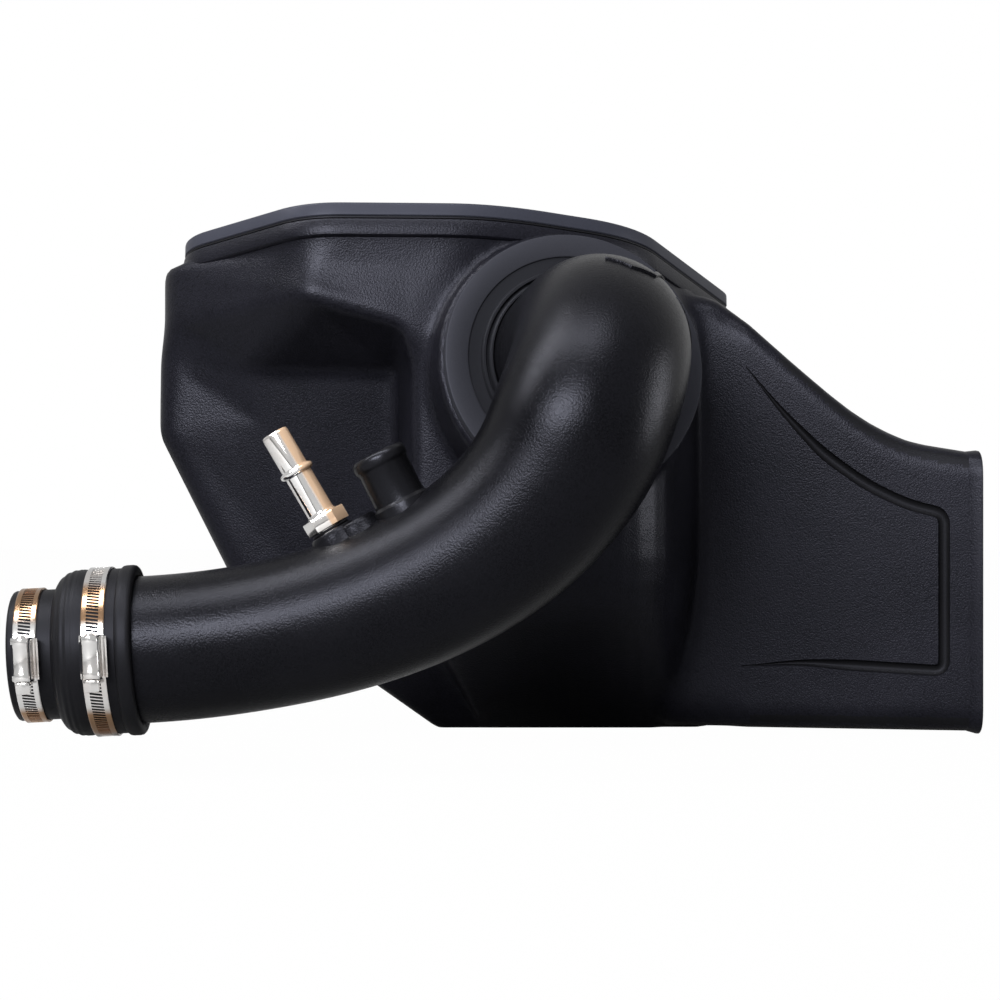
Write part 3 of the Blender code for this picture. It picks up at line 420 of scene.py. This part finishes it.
port_centre = Vector((0, -0.1825, 0.233))
port_turn = radians(14)
port = (Matrix.Translation(port_centre) @ Matrix.Rotation(port_turn, 4, "Z")
        @ Matrix.Rotation(pi / 2 - lid_lean, 4, "X"))
barrel = [(-0.0083, 0.082), (-0.045, 0.084), (-0.053, 0.086), (-0.110, 0.086)]
neck_drops = [0.0150] * 2 + [0.0238] * 6
neck_plan = [corner - Vector((0, 0, drop)) for corner, drop in zip(inset(lid_plan, 0.003), neck_drops)]
neck = [lid_frame @ point for point in rounded(neck_plan, lid_rounds, plan_steps, True)]
rim = [lid_loop(0.0101, 0, plan_steps), lid_loop(0.0140, 0, plan_steps), neck]
shell = joined([box_solid(rim, 0, 0), loft([duct_loop(x, top, 0) for x, top in ramp]),
                turned(barrel, 96, port, ring=False)])
shell = settled(shell, ("REMESH", {"mode": "VOXEL", "voxel_size": 0.0026}),
                ("SMOOTH", {"factor": 0.5, "iterations": 4}))

# The seam between box and duct is smoothed in a strip that narrows pass by pass.
seam_x, seam_reach, seam_passes, seam_narrowing = 0.085, 0.030, 40, 0.4
seam_near, seam_far = -0.115, -0.030
for step in range(seam_passes):
    reach = seam_reach * (1 - seam_narrowing * step / seam_passes)
    seam = [vert for vert in shell.verts
            if abs(vert.co.x - seam_x) < reach and seam_near < vert.co.y < seam_far]
    bmesh.ops.smooth_vert(shell, verts=seam, factor=0.5, use_axis_x=True, use_axis_y=True, use_axis_z=True)

duct_wall, box_wall = 0.004, 0.0055
opening_shrink, past_mouth_x, past_mouth_top = 0.014, 0.266, 0.1787
barrel_bore, port_hole = 0.0775, 0.0574
opening = [lid_loop(-0.006, opening_shrink, plan_steps), lid_loop(0.026, opening_shrink, plan_steps)]
passage = [duct_loop(x, top, -duct_wall) for x, top in [*ramp, (past_mouth_x, past_mouth_top)]]
hollow = joined([box_solid(opening, box_wall, duct_wall), loft(passage),
                 turned([(-0.0125, barrel_bore), (-0.112, barrel_bore)], 64, port, ring=False),
                 turned([(0.004, port_hole), (-0.030, port_hole)], 64, port, ring=False)])
hollow_tool = tool("hollow_tool", settled(hollow, ("REMESH", {"mode": "VOXEL", "voxel_size": 0.005})))
shell = settled(shell, *(("BOOLEAN", {"operation": "DIFFERENCE", "solver": "EXACT", "object": item})
                         for item in (hollow_tool, groove_tool)))
# The groove's faces take the black material as painted shade for its depth.
groove_from_x, groove_below_z, skin_play, groove_reach = 0.115, 0.24, 0.0009, 0.0040
for face in shell.faces:
    middle = face.calc_center_median()
    deep = face_out.dot(duct_face(middle.x, middle.z) - middle)
    groove_painted_shade = skin_play < deep < groove_reach and middle.x > groove_from_x and middle.z < groove_below_z
    face.material_index = int(groove_painted_shade)
skin = piece("airbox_shell", shell, pebble_plastic, replaced=["airbox_body"], sharp=50)
skin.data.materials.append(black_rubber)
for item in (hollow_tool, groove_tool):
    bpy.data.objects.remove(item, do_unlink=True)

# Rim bead of the airbox: the rounded edge under the seal, in the same pebbled plastic.
# It is moulded in one with the shell and shows as a band with a dark line under it.
bead = [(0.0102, 0.0060), (0.0102, 0.0008), (0.0108, -0.0002), (0.0120, -0.0006), (0.0188, -0.0006),
        (0.0204, -0.0002), (0.0214, 0.0010), (0.0218, 0.0030), (0.0218, 0.0060)]
piece("airbox_rim_bead", loft([lid_loop(drop, shrink) for drop, shrink in bead], True), pebble_plastic)

# Lid: smooth grey-blue plastic plate with a small radius round its edges.
# Eight countersunk screws hold it on the rim through a thin black seal.
lid_plastic = moulded("lid_plastic", dark=(0.018, 0.019, 0.026), light=(0.023, 0.0245, 0.033),
                      roughness=0.40, pebble=0.0006, depth=0.00002, gloss=0.12)
edge = [(0.0085, 0.0020), (0.0085, 0.0006), (0.0079, 0.0), (0.0016, 0.0), (0.0008, 0.0002),
        (0.0002, 0.0008), (0.0, 0.0016), (0.0, 0.0060)]
piece("airbox_lid_plate", loft([lid_loop(drop, shrink) for drop, shrink in edge]), lid_plastic,
      replaced=["airbox_lid"])
seal = [(0.0088, 0.0006), (0.0088, 0.0140), (0.0098, 0.0140), (0.0098, 0.0006)]
piece("lid_seal_strip", loft([lid_loop(drop, shrink) for drop, shrink in seal], True), black_rubber,
      replaced=["lid_seal"])


# Lid screws: zinc-plated steel with countersunk heads and a hex socket.
# They sit flush with the lid and screw into the airbox's rim.
def bright_metal(name, colour, reflected_tint, roughness, scratch, bands=(), reflection_stripe=None):
    """Bright metal: fine drawn lines, uneven polish, and a painted warm reflection in patches, in height
    bands or along one side.
    """
    material, shader, place = start_material(name)
    shader.inputs["Metallic"].default_value = 1.0
    lines = place.node("ShaderNodeTexNoise", "Fac", Vector=place, Scale=900.0, Detail=2.0)
    broad = place.node("ShaderNodeTexNoise", "Fac", Vector=place, Scale=45.0, Detail=3.0)
    # Painted reflection: the warm colour in patches, bands and the side stripe stands for reflected warm
    # surroundings.
    patches = 0.3 if bands or reflection_stripe else 1.0
    painted_warm_reflection = broad.ramp(0.45, 0.8) * patches
    height = place.node("ShaderNodeSeparateXYZ", "Z", Vector=place)
    # The side stripe is a painted reflection, warmer and less metallic along one side.
    if reflection_stripe:
        centre, direction, near, far, dull = reflection_stripe
        near_blur, far_blur = 0.0008, 0.0006
        aside = place.node("ShaderNodeSeparateXYZ", "X", Vector=place) * direction.x + height * direction.z
        aside = aside - centre.dot(direction)
        along = (aside.ramp(near - near_blur, near + near_blur)
                 * aside.ramp(far + far_blur, far - far_blur))
        painted_warm_reflection = painted_warm_reflection + along
        (1 - along * dull).to(shader, "Metallic")
    blur = 0.002
    # Each height band is a painted warm reflection.
    for low, high in bands:
        painted_warm_reflection = painted_warm_reflection + height.ramp(low - blur, low + blur) * height.ramp(high + blur, high - blur)
    painted_warm_reflection.colours(colour, reflected_tint).to(shader, "Base Color")
    (roughness + (lines - 0.5) * 0.12 + (broad - 0.5) * 0.1).to(shader, "Roughness")
    place.node("ShaderNodeBump", "Normal", Strength=0.5, Distance=scratch, Height=lines).to(shader, "Normal")
    return material


# Its warm patches are painted reflection.
zinc_steel = bright_metal("zinc_steel", colour=(0.55, 0.54, 0.52), reflected_tint=(0.48, 0.46, 0.42), roughness=0.34,
                          scratch=0.00002)
head_above_middle = 0.0100
screw_head = [(-0.0200, 0.0018), (-0.0194, 0.0020), (-0.0018, 0.0020), (0.0, 0.0037), (0.0003, 0.0038),
              (0.0004, 0.0036)]
screw_socket = [(0.0004, 0.0026, 6), (-0.0016, 0.0025, 6), (-0.0018, 0.0010, 6)]
lid_up = lid_frame.to_3x3() @ Vector((0, 0, 1))
for number in range(1, 9):
    low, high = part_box(f"lid_screw_{number}")
    screw_axis = lid_frame.copy()
    screw_axis.translation = (Vector(low) + Vector(high)) / 2 + lid_up * head_above_middle
    piece(f"lid_screw_head_{number}", turned(screw_head + screw_socket, 24, screw_axis, ring=False),
          zinc_steel, replaced=[f"lid_screw_{number}"])

# Seal ring: smooth dark grey moulding on the barrel's face, with a step and two thin lips.
# Its sleeve plugs into the port and the lips close on the tube.
ring_plastic = moulded("ring_plastic", dark=(0.015, 0.0155, 0.0195), light=(0.020, 0.0206, 0.0255),
                       roughness=0.46, pebble=0.0006, depth=0.00003, gloss=0.10)
lip_rubber = moulded("lip_rubber", dark=(0.0060, 0.0062, 0.0075), light=(0.0085, 0.0088, 0.0105),
                     roughness=0.46, pebble=0.0006, depth=0.00003, gloss=0.10)
clearance = 0.0003
tube_big, tube_small = 0.0508, 0.04125
bore = tube_big + clearance
lip_zone = 0.0658
ring_profile = [(-0.0080, 0.0790), (-0.0076, 0.0796), (-0.0012, 0.0800), (-0.0003, 0.0797), (0.0, 0.0788),
                (0.0, 0.0668), (-0.0004, 0.0660), (-0.0014, 0.0656), (-0.0015, 0.0600), (-0.0014, 0.0580),
                (0.0006, 0.0576), (0.0012, 0.0570), (0.0012, 0.0556), (-0.0010, 0.0552), (-0.0014, 0.0546),
                (-0.0010, 0.0540), (0.0022, 0.0534), (0.0030, 0.0526), (0.0030, 0.0516), (0.0022, bore),
                (-0.0120, bore), (-0.0120, 0.0571), (-0.0080, 0.0571)]
ring_shape = turned(ring_profile, 120, port)
for face in ring_shape.faces:
    inside = port.inverted() @ face.calc_center_median()
    face.material_index = int(inside.to_2d().length < lip_zone)
ring = piece("tube_seal_collar", ring_shape, ring_plastic, replaced=["tube_seal_ring"])
ring.data.materials.append(lip_rubber)

# Intake tube: black pebbled plastic, tapering from the filter end round the elbow to the coupler.
# It passes through the seal ring and carries two low ribs at the elbow, a flat boss and a lower pad
# beside the boss.
tube_plastic = moulded("tube_plastic", dark=(0.0009, 0.0009, 0.0012), light=(0.0040, 0.0040, 0.0051),
                       roughness=0.28, pebble=0.0010, depth=0.00016, gloss=0.10)
tube_wall = 0.0035
out = (port.to_3x3() @ Vector((0, 0, 1))).normalized()
lean = radians(23.5)
down = Vector((-sin(lean), 0, -cos(lean)))
elbow_side = (down - out * down.dot(out)).normalized()
turn = out.angle(down)
tube_end = Vector((-0.246, -0.2785, 0.066))
coupler_dip = radians(3)
coupler = Matrix.Translation(tube_end) @ Matrix.Rotation(-pi / 2 - coupler_dip, 4, "Y")
coupler_out = coupler.to_3x3() @ Vector((0, 0, 1))
elbow_start, elbow_radius = 0.036, 0.060
elbow_pull, coupler_pull = 0.075, 0.120
inner_reach, coupler_reach = 0.0537, 0.029
bend = port_centre + out * elbow_start


def elbow_point(angle):
    """Point on the elbow's arc."""
    return bend + elbow_radius * (sin(angle) * out + (1 - cos(angle)) * elbow_side)


def sweep_point(t):
    """Point on the long sweep between the elbow and the coupler."""
    start = elbow_point(turn)
    first = start + down * elbow_pull
    second = tube_end - coupler_out * coupler_pull
    return (start * (1 - t) ** 3 + first * (3 * t * (1 - t) ** 2) + second * (3 * t ** 2 * (1 - t))
            + tube_end * t ** 3)


def sweep_radius(t):
    """The tube's radius on the sweep, which tapers over its first four fifths."""
    return tube_big + (tube_small - tube_big) * min(1, 1.25 * t) ** 0.75


elbow_steps, sweep_steps, end_steps, smoothing_passes = 24, 48, 4, 6
tube_line = [(port_centre + out * reach, tube_big) for reach in (-inner_reach, -0.02, 0, 0.018)]
for k in range(elbow_steps + 1):
    tube_line.append((elbow_point(turn * k / elbow_steps), tube_big))
for k in range(1, sweep_steps + 1):
    tube_line.append((sweep_point(k / sweep_steps), sweep_radius(k / sweep_steps)))
for k in range(1, end_steps + 1):
    tube_line.append((tube_end + coupler_out * coupler_reach * k / end_steps, tube_small))
for _ in range(smoothing_passes):
    radii = [radius for point, radius in tube_line]
    tube_line = [(point, (radii[max(i - 1, 0)] + radii[i] + radii[min(i + 1, len(radii) - 1)]) / 3)
                 for i, (point, radius) in enumerate(tube_line)]


def tube_loops(change, segments):
    """Loops round the tube's centre line, with a change of radius."""
    across = Vector((1, 0, 0))
    loops = []
    for i, (point, radius) in enumerate(tube_line):
        ahead = tube_line[min(i + 1, len(tube_line) - 1)][0] - tube_line[max(i - 1, 0)][0]
        ahead.normalize()
        across = (across - ahead * across.dot(ahead)).normalized()
        other = ahead.cross(across)
        angles = [2 * pi * k / segments for k in range(segments)]
        loops.append([point + (radius + change) * (cos(angle) * across + sin(angle) * other)
                      for angle in angles])
    return loops


piece("intake_tube_skin", loft(tube_loops(0, 72) + tube_loops(-tube_wall, 72)[::-1], True), tube_plastic,
      replaced=["intake_tube"])


def tube_rib(name, path, width, rise):
    """A low rib on the tube's skin along (station, angle in degrees) marks."""
    marks = [Vector((*mark, 0)) for mark in path]
    line = [a.lerp(b, k / 6) for a, b in zip(marks, marks[1:]) for k in range(6)] + [marks[-1]]
    surface, above = tube_loops(0, 360), tube_loops(0.001, 360)

    def on(loops, mark):
        station = int(mark.x)
        angle = round(mark.y) % 360
        return loops[station][angle].lerp(loops[station + 1][angle], mark.x - station)

    sunk, shoulder = -0.001, rise * 0.6
    section = ((1.0, sunk), (1.0, shoulder), (0.8, rise), (-0.8, rise), (-1.0, shoulder), (-1.0, sunk))
    points = [(on(surface, mark), (on(above, mark) - on(surface, mark)).normalized()) for mark in line]
    loops = []
    for i, (point, normal) in enumerate(points):
        ahead = points[min(i + 1, len(points) - 1)][0] - points[max(i - 1, 0)][0]
        side = ahead.cross(normal).normalized() * width / 2
        loops.append([point + side * across + normal * height for across, height in section])
    piece(name, loft(loops), tube_plastic)


tube_rib("tube_tab_rib", ((11.5, 92), (12.5, 76), (12.0, 60), (8.0, 47)), width=0.0034, rise=0.0014)
tube_rib("tube_edge_rib", ((11.0, 37), (12.0, 16), (11.0, -10)), width=0.0022, rise=0.0007)
boss_station, boss_lean, boss_rise = 0.59, radians(30.5), 0.005
boss = Matrix.Translation(sweep_point(boss_station)) @ Matrix.Rotation(-boss_lean, 4, "Y")
boss_face = sweep_radius(boss_station) + boss_rise
boss_root, boss_hole = boss_face - 0.0170, 0.0073
skirt = [(boss_root, 0.0215), (boss_face - 0.0105, 0.0178), (boss_face - 0.0060, 0.0152),
         (boss_face - 0.0028, 0.0138), (boss_face - 0.0008, 0.0131), (boss_face, 0.0121)]
piece("intake_tube_boss", turned(skirt + [(boss_face, boss_hole), (boss_root, boss_hole)], 64, boss),
      tube_plastic)
pad_drop, pad_aside = 0.0016, 0.0125
pad = [(height - pad_drop, radius) for height, radius in skirt] + [(boss_face - pad_drop, 0.0020)]
piece("intake_tube_pad", turned(pad, 64, boss @ Matrix.Translation((pad_aside, 0, 0)), ring=False),
      tube_plastic)

# Breather nipple: black plastic with a fine grain and a rolled bead for a hose.
# It is welded on the tube by its flange.
spout_plastic = moulded("spout_plastic", dark=(0.0022, 0.0022, 0.0026), light=(0.0036, 0.0036, 0.0042),
                        roughness=0.28, pebble=0.0007, depth=0.00005, gloss=0.16)
breather_station, breather_lean = 0.45, radians(27)
breather = Matrix.Translation(sweep_point(breather_station)) @ Matrix.Rotation(-breather_lean, 4, "Y")
nipple_root, nipple_bore = 0.040, 0.0120
nipple = [(nipple_root, 0.0178), (0.0440, 0.0174), (0.0462, 0.0170), (0.0472, 0.0158), (0.0480, 0.0150),
          (0.0500, 0.01475), (0.0685, 0.01475), (0.0697, 0.0152), (0.0704, 0.01585), (0.0714, 0.0160),
          (0.0736, 0.0160), (0.0748, 0.01575), (0.0762, 0.0150), (0.0769, 0.0141), (0.0770, 0.0132),
          (0.0764, 0.0123), (0.0750, nipple_bore), (nipple_root, nipple_bore)]
piece("breather_spout", turned(nipple, 72, breather), spout_plastic,
      replaced=["breather_nipple"])

# Quick-connect spigot: bright plated brass with a bead and a hex, and a painted warm reflection along one
# side.
# It is screwed into the boss on a black rubber washer.
washer_thickness, washer_hole = 0.0015, 0.0073
washer_low = boss_face + clearance
washer_high = washer_low + washer_thickness
foot = washer_high + clearance
hex_top = foot + 0.0085
tip = hex_top + 0.053
bead_low = tip - 0.026
spigot_root, pipe, spigot_bore = boss_face - 0.014, 0.0079, 0.0060
spigot = [(spigot_root, 0.0066), (spigot_root + 0.001, 0.0070), (foot, 0.0070), (foot, 0.0100),
          (foot + 0.0004, 0.0108, 6), (foot + 0.0010, 0.0110, 6), (hex_top - 0.0010, 0.0110, 6),
          (hex_top - 0.0004, 0.0108, 6), (hex_top, 0.0100), (hex_top, 0.0088), (hex_top + 0.0008, 0.0081),
          (hex_top + 0.0020, pipe), (bead_low - 0.0014, pipe), (bead_low - 0.0009, 0.0086),
          (bead_low - 0.0003, 0.0096), (bead_low + 0.0005, 0.0100), (bead_low + 0.0015, 0.0100),
          (bead_low + 0.0023, 0.0096), (bead_low + 0.0029, 0.0086), (bead_low + 0.0034, pipe),
          (tip - 0.0016, pipe), (tip - 0.0007, 0.0076), (tip - 0.0001, 0.0070), (tip, 0.0066),
          (tip - 0.0005, 0.0061), (tip - 0.0015, spigot_bore), (spigot_root, spigot_bore)]
spigot_side = boss.to_3x3() @ Vector((1, 0, 0))
# The side stripe is painted reflection: warm and less metallic on one side of the spigot.
reflection_near, reflection_far, reflection_dull = 0.0026, 0.0130, 0.55
spigot_chrome = bright_metal("spigot_chrome", colour=(0.90, 0.89, 0.88), reflected_tint=(0.52, 0.36, 0.24),
                             roughness=0.08, scratch=0.000002,
                             reflection_stripe=(boss.translation, spigot_side, reflection_near, reflection_far, reflection_dull))
piece("quick_connect_spigot", turned(spigot, 72, boss), spigot_chrome,
      replaced=["quick_connect_fitting"])
washer = [(washer_low, washer_hole), (washer_low, 0.0106), (washer_low + 0.0004, 0.0110),
          (washer_high - 0.0004, 0.0110), (washer_high, 0.0106), (washer_high, washer_hole)]
piece("quick_connect_washer", turned(washer, 48, boss), black_rubber,
      replaced=["quick_connect_seal"])

# Reducer coupler: black rubber sleeve with a rolled end, a ridged hump and a plain small end.
# It slides over the tube and two worm-drive clamps hold it.
large_out, small_out = 0.04625, 0.03645
large_bore, small_bore = 0.04155, 0.03175
hump_start, hump_length, hump_rise = 0.0305, 0.0150, 0.0003
hump_steps, ridges, ridge_height = 29, 4, 0.00022
sleeve = [(0.0004, 0.0420), (0.0, 0.0440), (0.0005, 0.0466), (0.0014, 0.0475), (0.0030, 0.0478),
          (0.0062, 0.0478), (0.0078, 0.0475), (0.0087, 0.0467), (0.0090, large_out), (0.0280, large_out),
          (0.0300, 0.0466)]
for k in range(hump_steps + 1):
    t = k / hump_steps
    hump = small_out + (large_out + hump_rise - small_out) * (1 - t ** 2.4) ** 0.62
    ridge = ridge_height * sin(2 * pi * ridges * t) * t * (1 - t) * 4
    sleeve.append((hump_start + hump_length * t, hump + ridge))
sleeve += [(0.0475, small_out), (0.0685, small_out), (0.0695, 0.0360), (0.0700, 0.0352), (0.0700, 0.0330),
           (0.0695, 0.0320), (0.0685, small_bore), (0.0460, small_bore), (0.0375, 0.0340), (0.0293, 0.0380),
           (0.0293, large_bore), (0.0010, large_bore)]
piece("coupler_sleeve", turned(sleeve, 112, coupler), black_rubber,
      replaced=["reducer_coupler"])

# Worm-drive clamps: bright steel bands with slanted slots, a pressed housing and a hex-headed worm.
# The housing is locked on the band and the worm turns in it.
# The clamps carry painted warm reflection in two height bands and in faint patches.
clamp_steel = bright_metal("clamp_steel", colour=(0.80, 0.79, 0.78), reflected_tint=(0.40, 0.25, 0.15), roughness=0.17,
                           scratch=0.000006, bands=((0.083, 0.103), (0.020, 0.034)))
band_thickness = 0.0009


def clamp_band(name, axis, radius, node):
    """Band with rolled edges and a row of slanted slots with dark rubber in them."""
    pitch = 0.00205
    columns = round(2 * pi * radius / pitch) * 2
    slot_half, squeeze, slant = 0.0034, 0.14, 0.0006 / radius
    inner = radius + clearance
    rolled = ((-0.00635, 0.0006), (-0.0058, 0.0010), (-slot_half, band_thickness),
              (slot_half, band_thickness), (0.0058, 0.0010), (0.00635, 0.0006))
    loops = []
    for height, rise in rolled:
        angles = [2 * pi * (i + (-squeeze if i % 2 else squeeze)) / columns + slant * height / slot_half
                  for i in range(columns)]
        loops.append([axis @ Vector(((inner + rise) * cos(angle), (inner + rise) * sin(angle), height))
                      for angle in angles])
    for height in (rolled[-1][0], rolled[0][0]):
        angles = [2 * pi * i / columns for i in range(columns)]
        loops.append([axis @ Vector((inner * cos(angle), inner * sin(angle), height)) for angle in angles])
    shape = loft(loops, True)
    bmesh.ops.recalc_face_normals(shape, faces=shape.faces)
    place = shape.verts.layers.int["place"]
    slots = []
    for face in shape.faces:
        middle = axis.inverted() @ face.calc_center_median()
        numbers = sorted({vert[place] for vert in face.verts})
        start = numbers[0] if numbers[1] - numbers[0] == 1 else numbers[1]
        outside = middle.to_2d().length > inner + band_thickness / 2
        if outside and abs(middle.z) < slot_half / 2 and start % 2:
            slots.append(face)
    bmesh.ops.inset_individual(shape, faces=slots, thickness=0.00012, depth=-0.00055)
    for face in slots:
        face.material_index = 1
    item = piece(name, shape, clamp_steel, replaced=[node], sharp=30)
    item.data.materials.append(black_rubber)


def drawn_along(axis, stations, section):
    """A shape with one (x, z) section, drawn along the clamp's y through some stations."""
    return loft([[axis @ Vector((x, y, z)) for x, z in section] for y in stations])


def clamp_housing(name, axis, radius, node):
    """Pressed cover over the worm: an arch with a foot flange on each side and rolled ends."""
    foot = radius + clearance + band_thickness + clearance
    flange, half, crown, worm_rise, arch_steps = 0.0014, 0.012, 0.0053, 0.0039, 16
    centre = foot + flange + worm_rise
    angles = [pi * k / arch_steps for k in range(arch_steps + 1)]
    arch = [(centre + crown * sin(angle) - 0.0004, crown * cos(angle)) for angle in angles]
    skirt_half = [(foot, 0.0066), (foot + 0.0010, 0.0068), (foot + flange, 0.0064), (foot + 0.0018, 0.0056)]
    section = skirt_half + arch + [(x, -z) for x, z in reversed(skirt_half)]
    stations = ((-half, 0.90), (-half + 0.0006, 0.98), (-half + 0.0016, 1.0), (-0.0075, 1.0),
                (-0.0066, 0.965), (0.0066, 0.965), (0.0075, 1.0), (half - 0.0016, 1.0),
                (half - 0.0006, 0.98), (half, 0.90))
    loops = [[axis @ Vector((foot + (x - foot) * scale, y, z * (0.5 + 0.5 * scale))) for x, z in section]
             for y, scale in stations]
    piece(name, loft(loops), clamp_steel, replaced=[node], sharp=40)
    # A black block painted as the shade in the opening on the housing's side.
    window = ((centre + 0.0012, 0.0044), (centre + 0.0012, 0.0058), (centre - 0.0018, 0.0060),
              (centre - 0.0018, 0.0044))
    piece(name + "_slot_shade", drawn_along(axis, (-0.0085, 0.0085), window), black_rubber,
          sharp=40)
    fold = ((foot, -0.0066), (foot + 0.0042, -0.0076), (foot + 0.0046, -0.0086), (foot + 0.0036, -0.0088),
            (foot - 0.0002, -0.0078))
    piece(name + "_fold", drawn_along(axis, (-0.0112, -0.0106, 0.0106, 0.0112), fold), clamp_steel,
          sharp=40)
    return centre


def clamp_worm(name, axis, centre, body, node):
    """Worm screw: a barrel with rings for its thread, a collar and a hex head."""
    worm = axis @ Matrix.Translation((centre, 0, 0)) @ Matrix.Rotation(pi / 2, 4, "X")
    thread_start, half_pitch, root, crest = -0.0116, 0.00106, 0.0029, 0.0035
    profile = [(-0.0134, 0.0016), (-0.0120, 0.0030)]
    for k in range(22):
        profile.append((thread_start + half_pitch * k, root if k % 2 else crest))
    profile += [(0.0123, 0.0036), (0.0123, 0.0043), (0.0127, 0.0046), (0.0134, 0.0046), (0.0138, 0.0042),
                (0.0138, 0.00375, 6), (0.0180, 0.00375, 6), (0.0186, 0.0035, 6), (0.0188, 0.0031),
                (0.0188, 0.0022), (0.0172, 0.0021), (0.0170, 0.0006)]
    piece(name, turned(profile, 36, worm, ring=False), clamp_steel, body=body, replaced=[node],
          sharp=30)


facing = Matrix.Rotation(-pi / 2, 4, "Z")
on_large_end = coupler @ Matrix.Translation((0, 0, 0.0205)) @ facing
on_small_end = coupler @ Matrix.Translation((0, 0, 0.0595)) @ facing
on_filter_neck = port @ Matrix.Translation((0, 0, -0.039))
filter_neck_radius = bore + 0.0045
for name, axis, radius in (("tube_clamp", on_large_end, large_out), ("outer_clamp", on_small_end, small_out),
                           ("filter_clamp", on_filter_neck, filter_neck_radius)):
    clamp_band(name + "_strap", axis, radius, name + "_band")
    worm_centre = clamp_housing(name + "_cover", axis, radius, name + "_housing")
    clamp_worm(name + "_worm_screw", axis, worm_centre, name + "_worm", name + "_screw")

# Duct edging: a rubber channel pushed over the edge of the duct's mouth.
# Its outer leg tapers into the duct as a small flared lip with the duct's own finish.
mouth_top, mouth_slope = 0.180, 0.171
lip = [(0.2500, -0.0012), (0.2530, 0.0002), (0.2560, 0.0010), (0.2585, 0.0017), (0.2598, 0.0017),
       (0.2603, 0.0010), (0.2603, -0.0052), (0.2598, -0.0059), (0.2520, -0.0059), (0.2510, -0.0050)]
lip_loops = [duct_loop(x, mouth_top + (duct_mouth_x - x) * mouth_slope, grow) for x, grow in lip]
lip_shape = loft(lip_loops, True)
outer_leg_bands = 4
lip_shape.faces.ensure_lookup_table()
for face in lip_shape.faces[:outer_leg_bands * len(lip_loops[0])]:
    face.material_index = 1
edging = piece("duct_mouth_edging", lip_shape, black_rubber, replaced=["duct_edge_trim"])
edging.data.materials.append(pebble_plastic)

# Bracket and filter: the solids carry the shape, with their own finishes.
# The bracket is zinc-plated steel on one screw, the filter red cotton under a clamp on the tube's inner end.
filter_cotton = moulded("filter_cotton", dark=(0.28, 0.025, 0.018), light=(0.42, 0.050, 0.035), roughness=0.9,
                        pebble=0.0009, depth=0.0003)
for node, material in (("mount_bracket", zinc_steel), ("bracket_screw", zinc_steel),
                       ("filter_base", black_rubber), ("filter_media", filter_cotton),
                       ("filter_end_cap", black_rubber)):
    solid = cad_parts[node]
    for slot in solid.material_slots:
        slot.material = material

# Floor and backdrop: a plain floor that the camera sees as white and that keeps the shadow.
# The world is white to the camera and to reflections, and gives little light of its own.
floor_shape = bmesh.new()
bmesh.ops.create_grid(floor_shape, x_segments=1, y_segments=1, size=6)
floor_mesh = bpy.data.meshes.new("floor")
floor_shape.to_mesh(floor_mesh)
floor_shape.free()
floor = bpy.data.objects.new("floor", floor_mesh)
floor.location.z = -0.002
scene.collection.objects.link(floor)
floor_material, floor_shader, _ = start_material("floor")
floor_shader.inputs["Base Color"].default_value = (0.30, 0.30, 0.30, 1)
floor_shader.inputs["Roughness"].default_value = 0.9
tree = floor_material.node_tree
rays = tree.nodes.new("ShaderNodeLightPath")
seen = Shade(tree, rays.outputs["Is Camera Ray"]) * 0.99
glow = seen.node("ShaderNodeEmission", Color=(1, 1, 1, 1), Strength=1.0)
mixed = tree.nodes.new("ShaderNodeMixShader")
for target, source in zip(mixed.inputs, (seen.socket, floor_shader.outputs[0], glow.socket)):
    tree.links.new(source, target)
tree.links.new(mixed.outputs[0], tree.nodes["Material Output"].inputs["Surface"])
floor_mesh.materials.append(floor_material)

world = bpy.data.worlds.new("studio")
scene.world = world
world.use_nodes = True
sky = world.node_tree
background = sky.nodes["Background"]
paths = sky.nodes.new("ShaderNodeLightPath")
reflected, ambient = 0.55, 0.05
shown = Shade(sky, paths.outputs["Is Camera Ray"])
for ray in ("Is Glossy Ray", "Is Transmission Ray"):
    shown = shown.maths("MAXIMUM", shown, Shade(sky, paths.outputs[ray]) * reflected)
background.inputs["Color"].default_value = (1, 1, 1, 1)
(shown * (1 - ambient) + ambient).to(background, "Strength")


# Light: four soft boxes, from above, from the front, from the left and a strip from the right.
# They give the long streak on the tube and the lit faces of the box.
def soft_box(name, place, target, size, power):
    """A rectangular lamp that looks at a point."""
    data = bpy.data.lights.new(name, "AREA")
    data.shape = "RECTANGLE"
    data.size, data.size_y = size
    data.energy = power
    lamp = bpy.data.objects.new(name, data)
    lamp.location = place
    lamp.rotation_euler = (Vector(target) - Vector(place)).to_track_quat("-Z", "Y").to_euler()
    scene.collection.objects.link(lamp)


soft_box("top_box", (-0.25, -0.75, 1.5), target=(-0.05, -0.15, 0.15), size=(1.2, 0.4), power=20)
soft_box("front_box", (-0.80, -2.1, 1.0), target=(-0.05, -0.15, 0.15), size=(1.3, 0.6), power=90)
soft_box("left_box", (-1.1, -0.3, 1.4), target=(-0.1, -0.15, 0.15), size=(0.25, 1.0), power=20)
soft_box("right_strip", (1.3, -0.15, 0.15), target=(0.0, -0.2, 0.15), size=(0.3, 1.0), power=12)
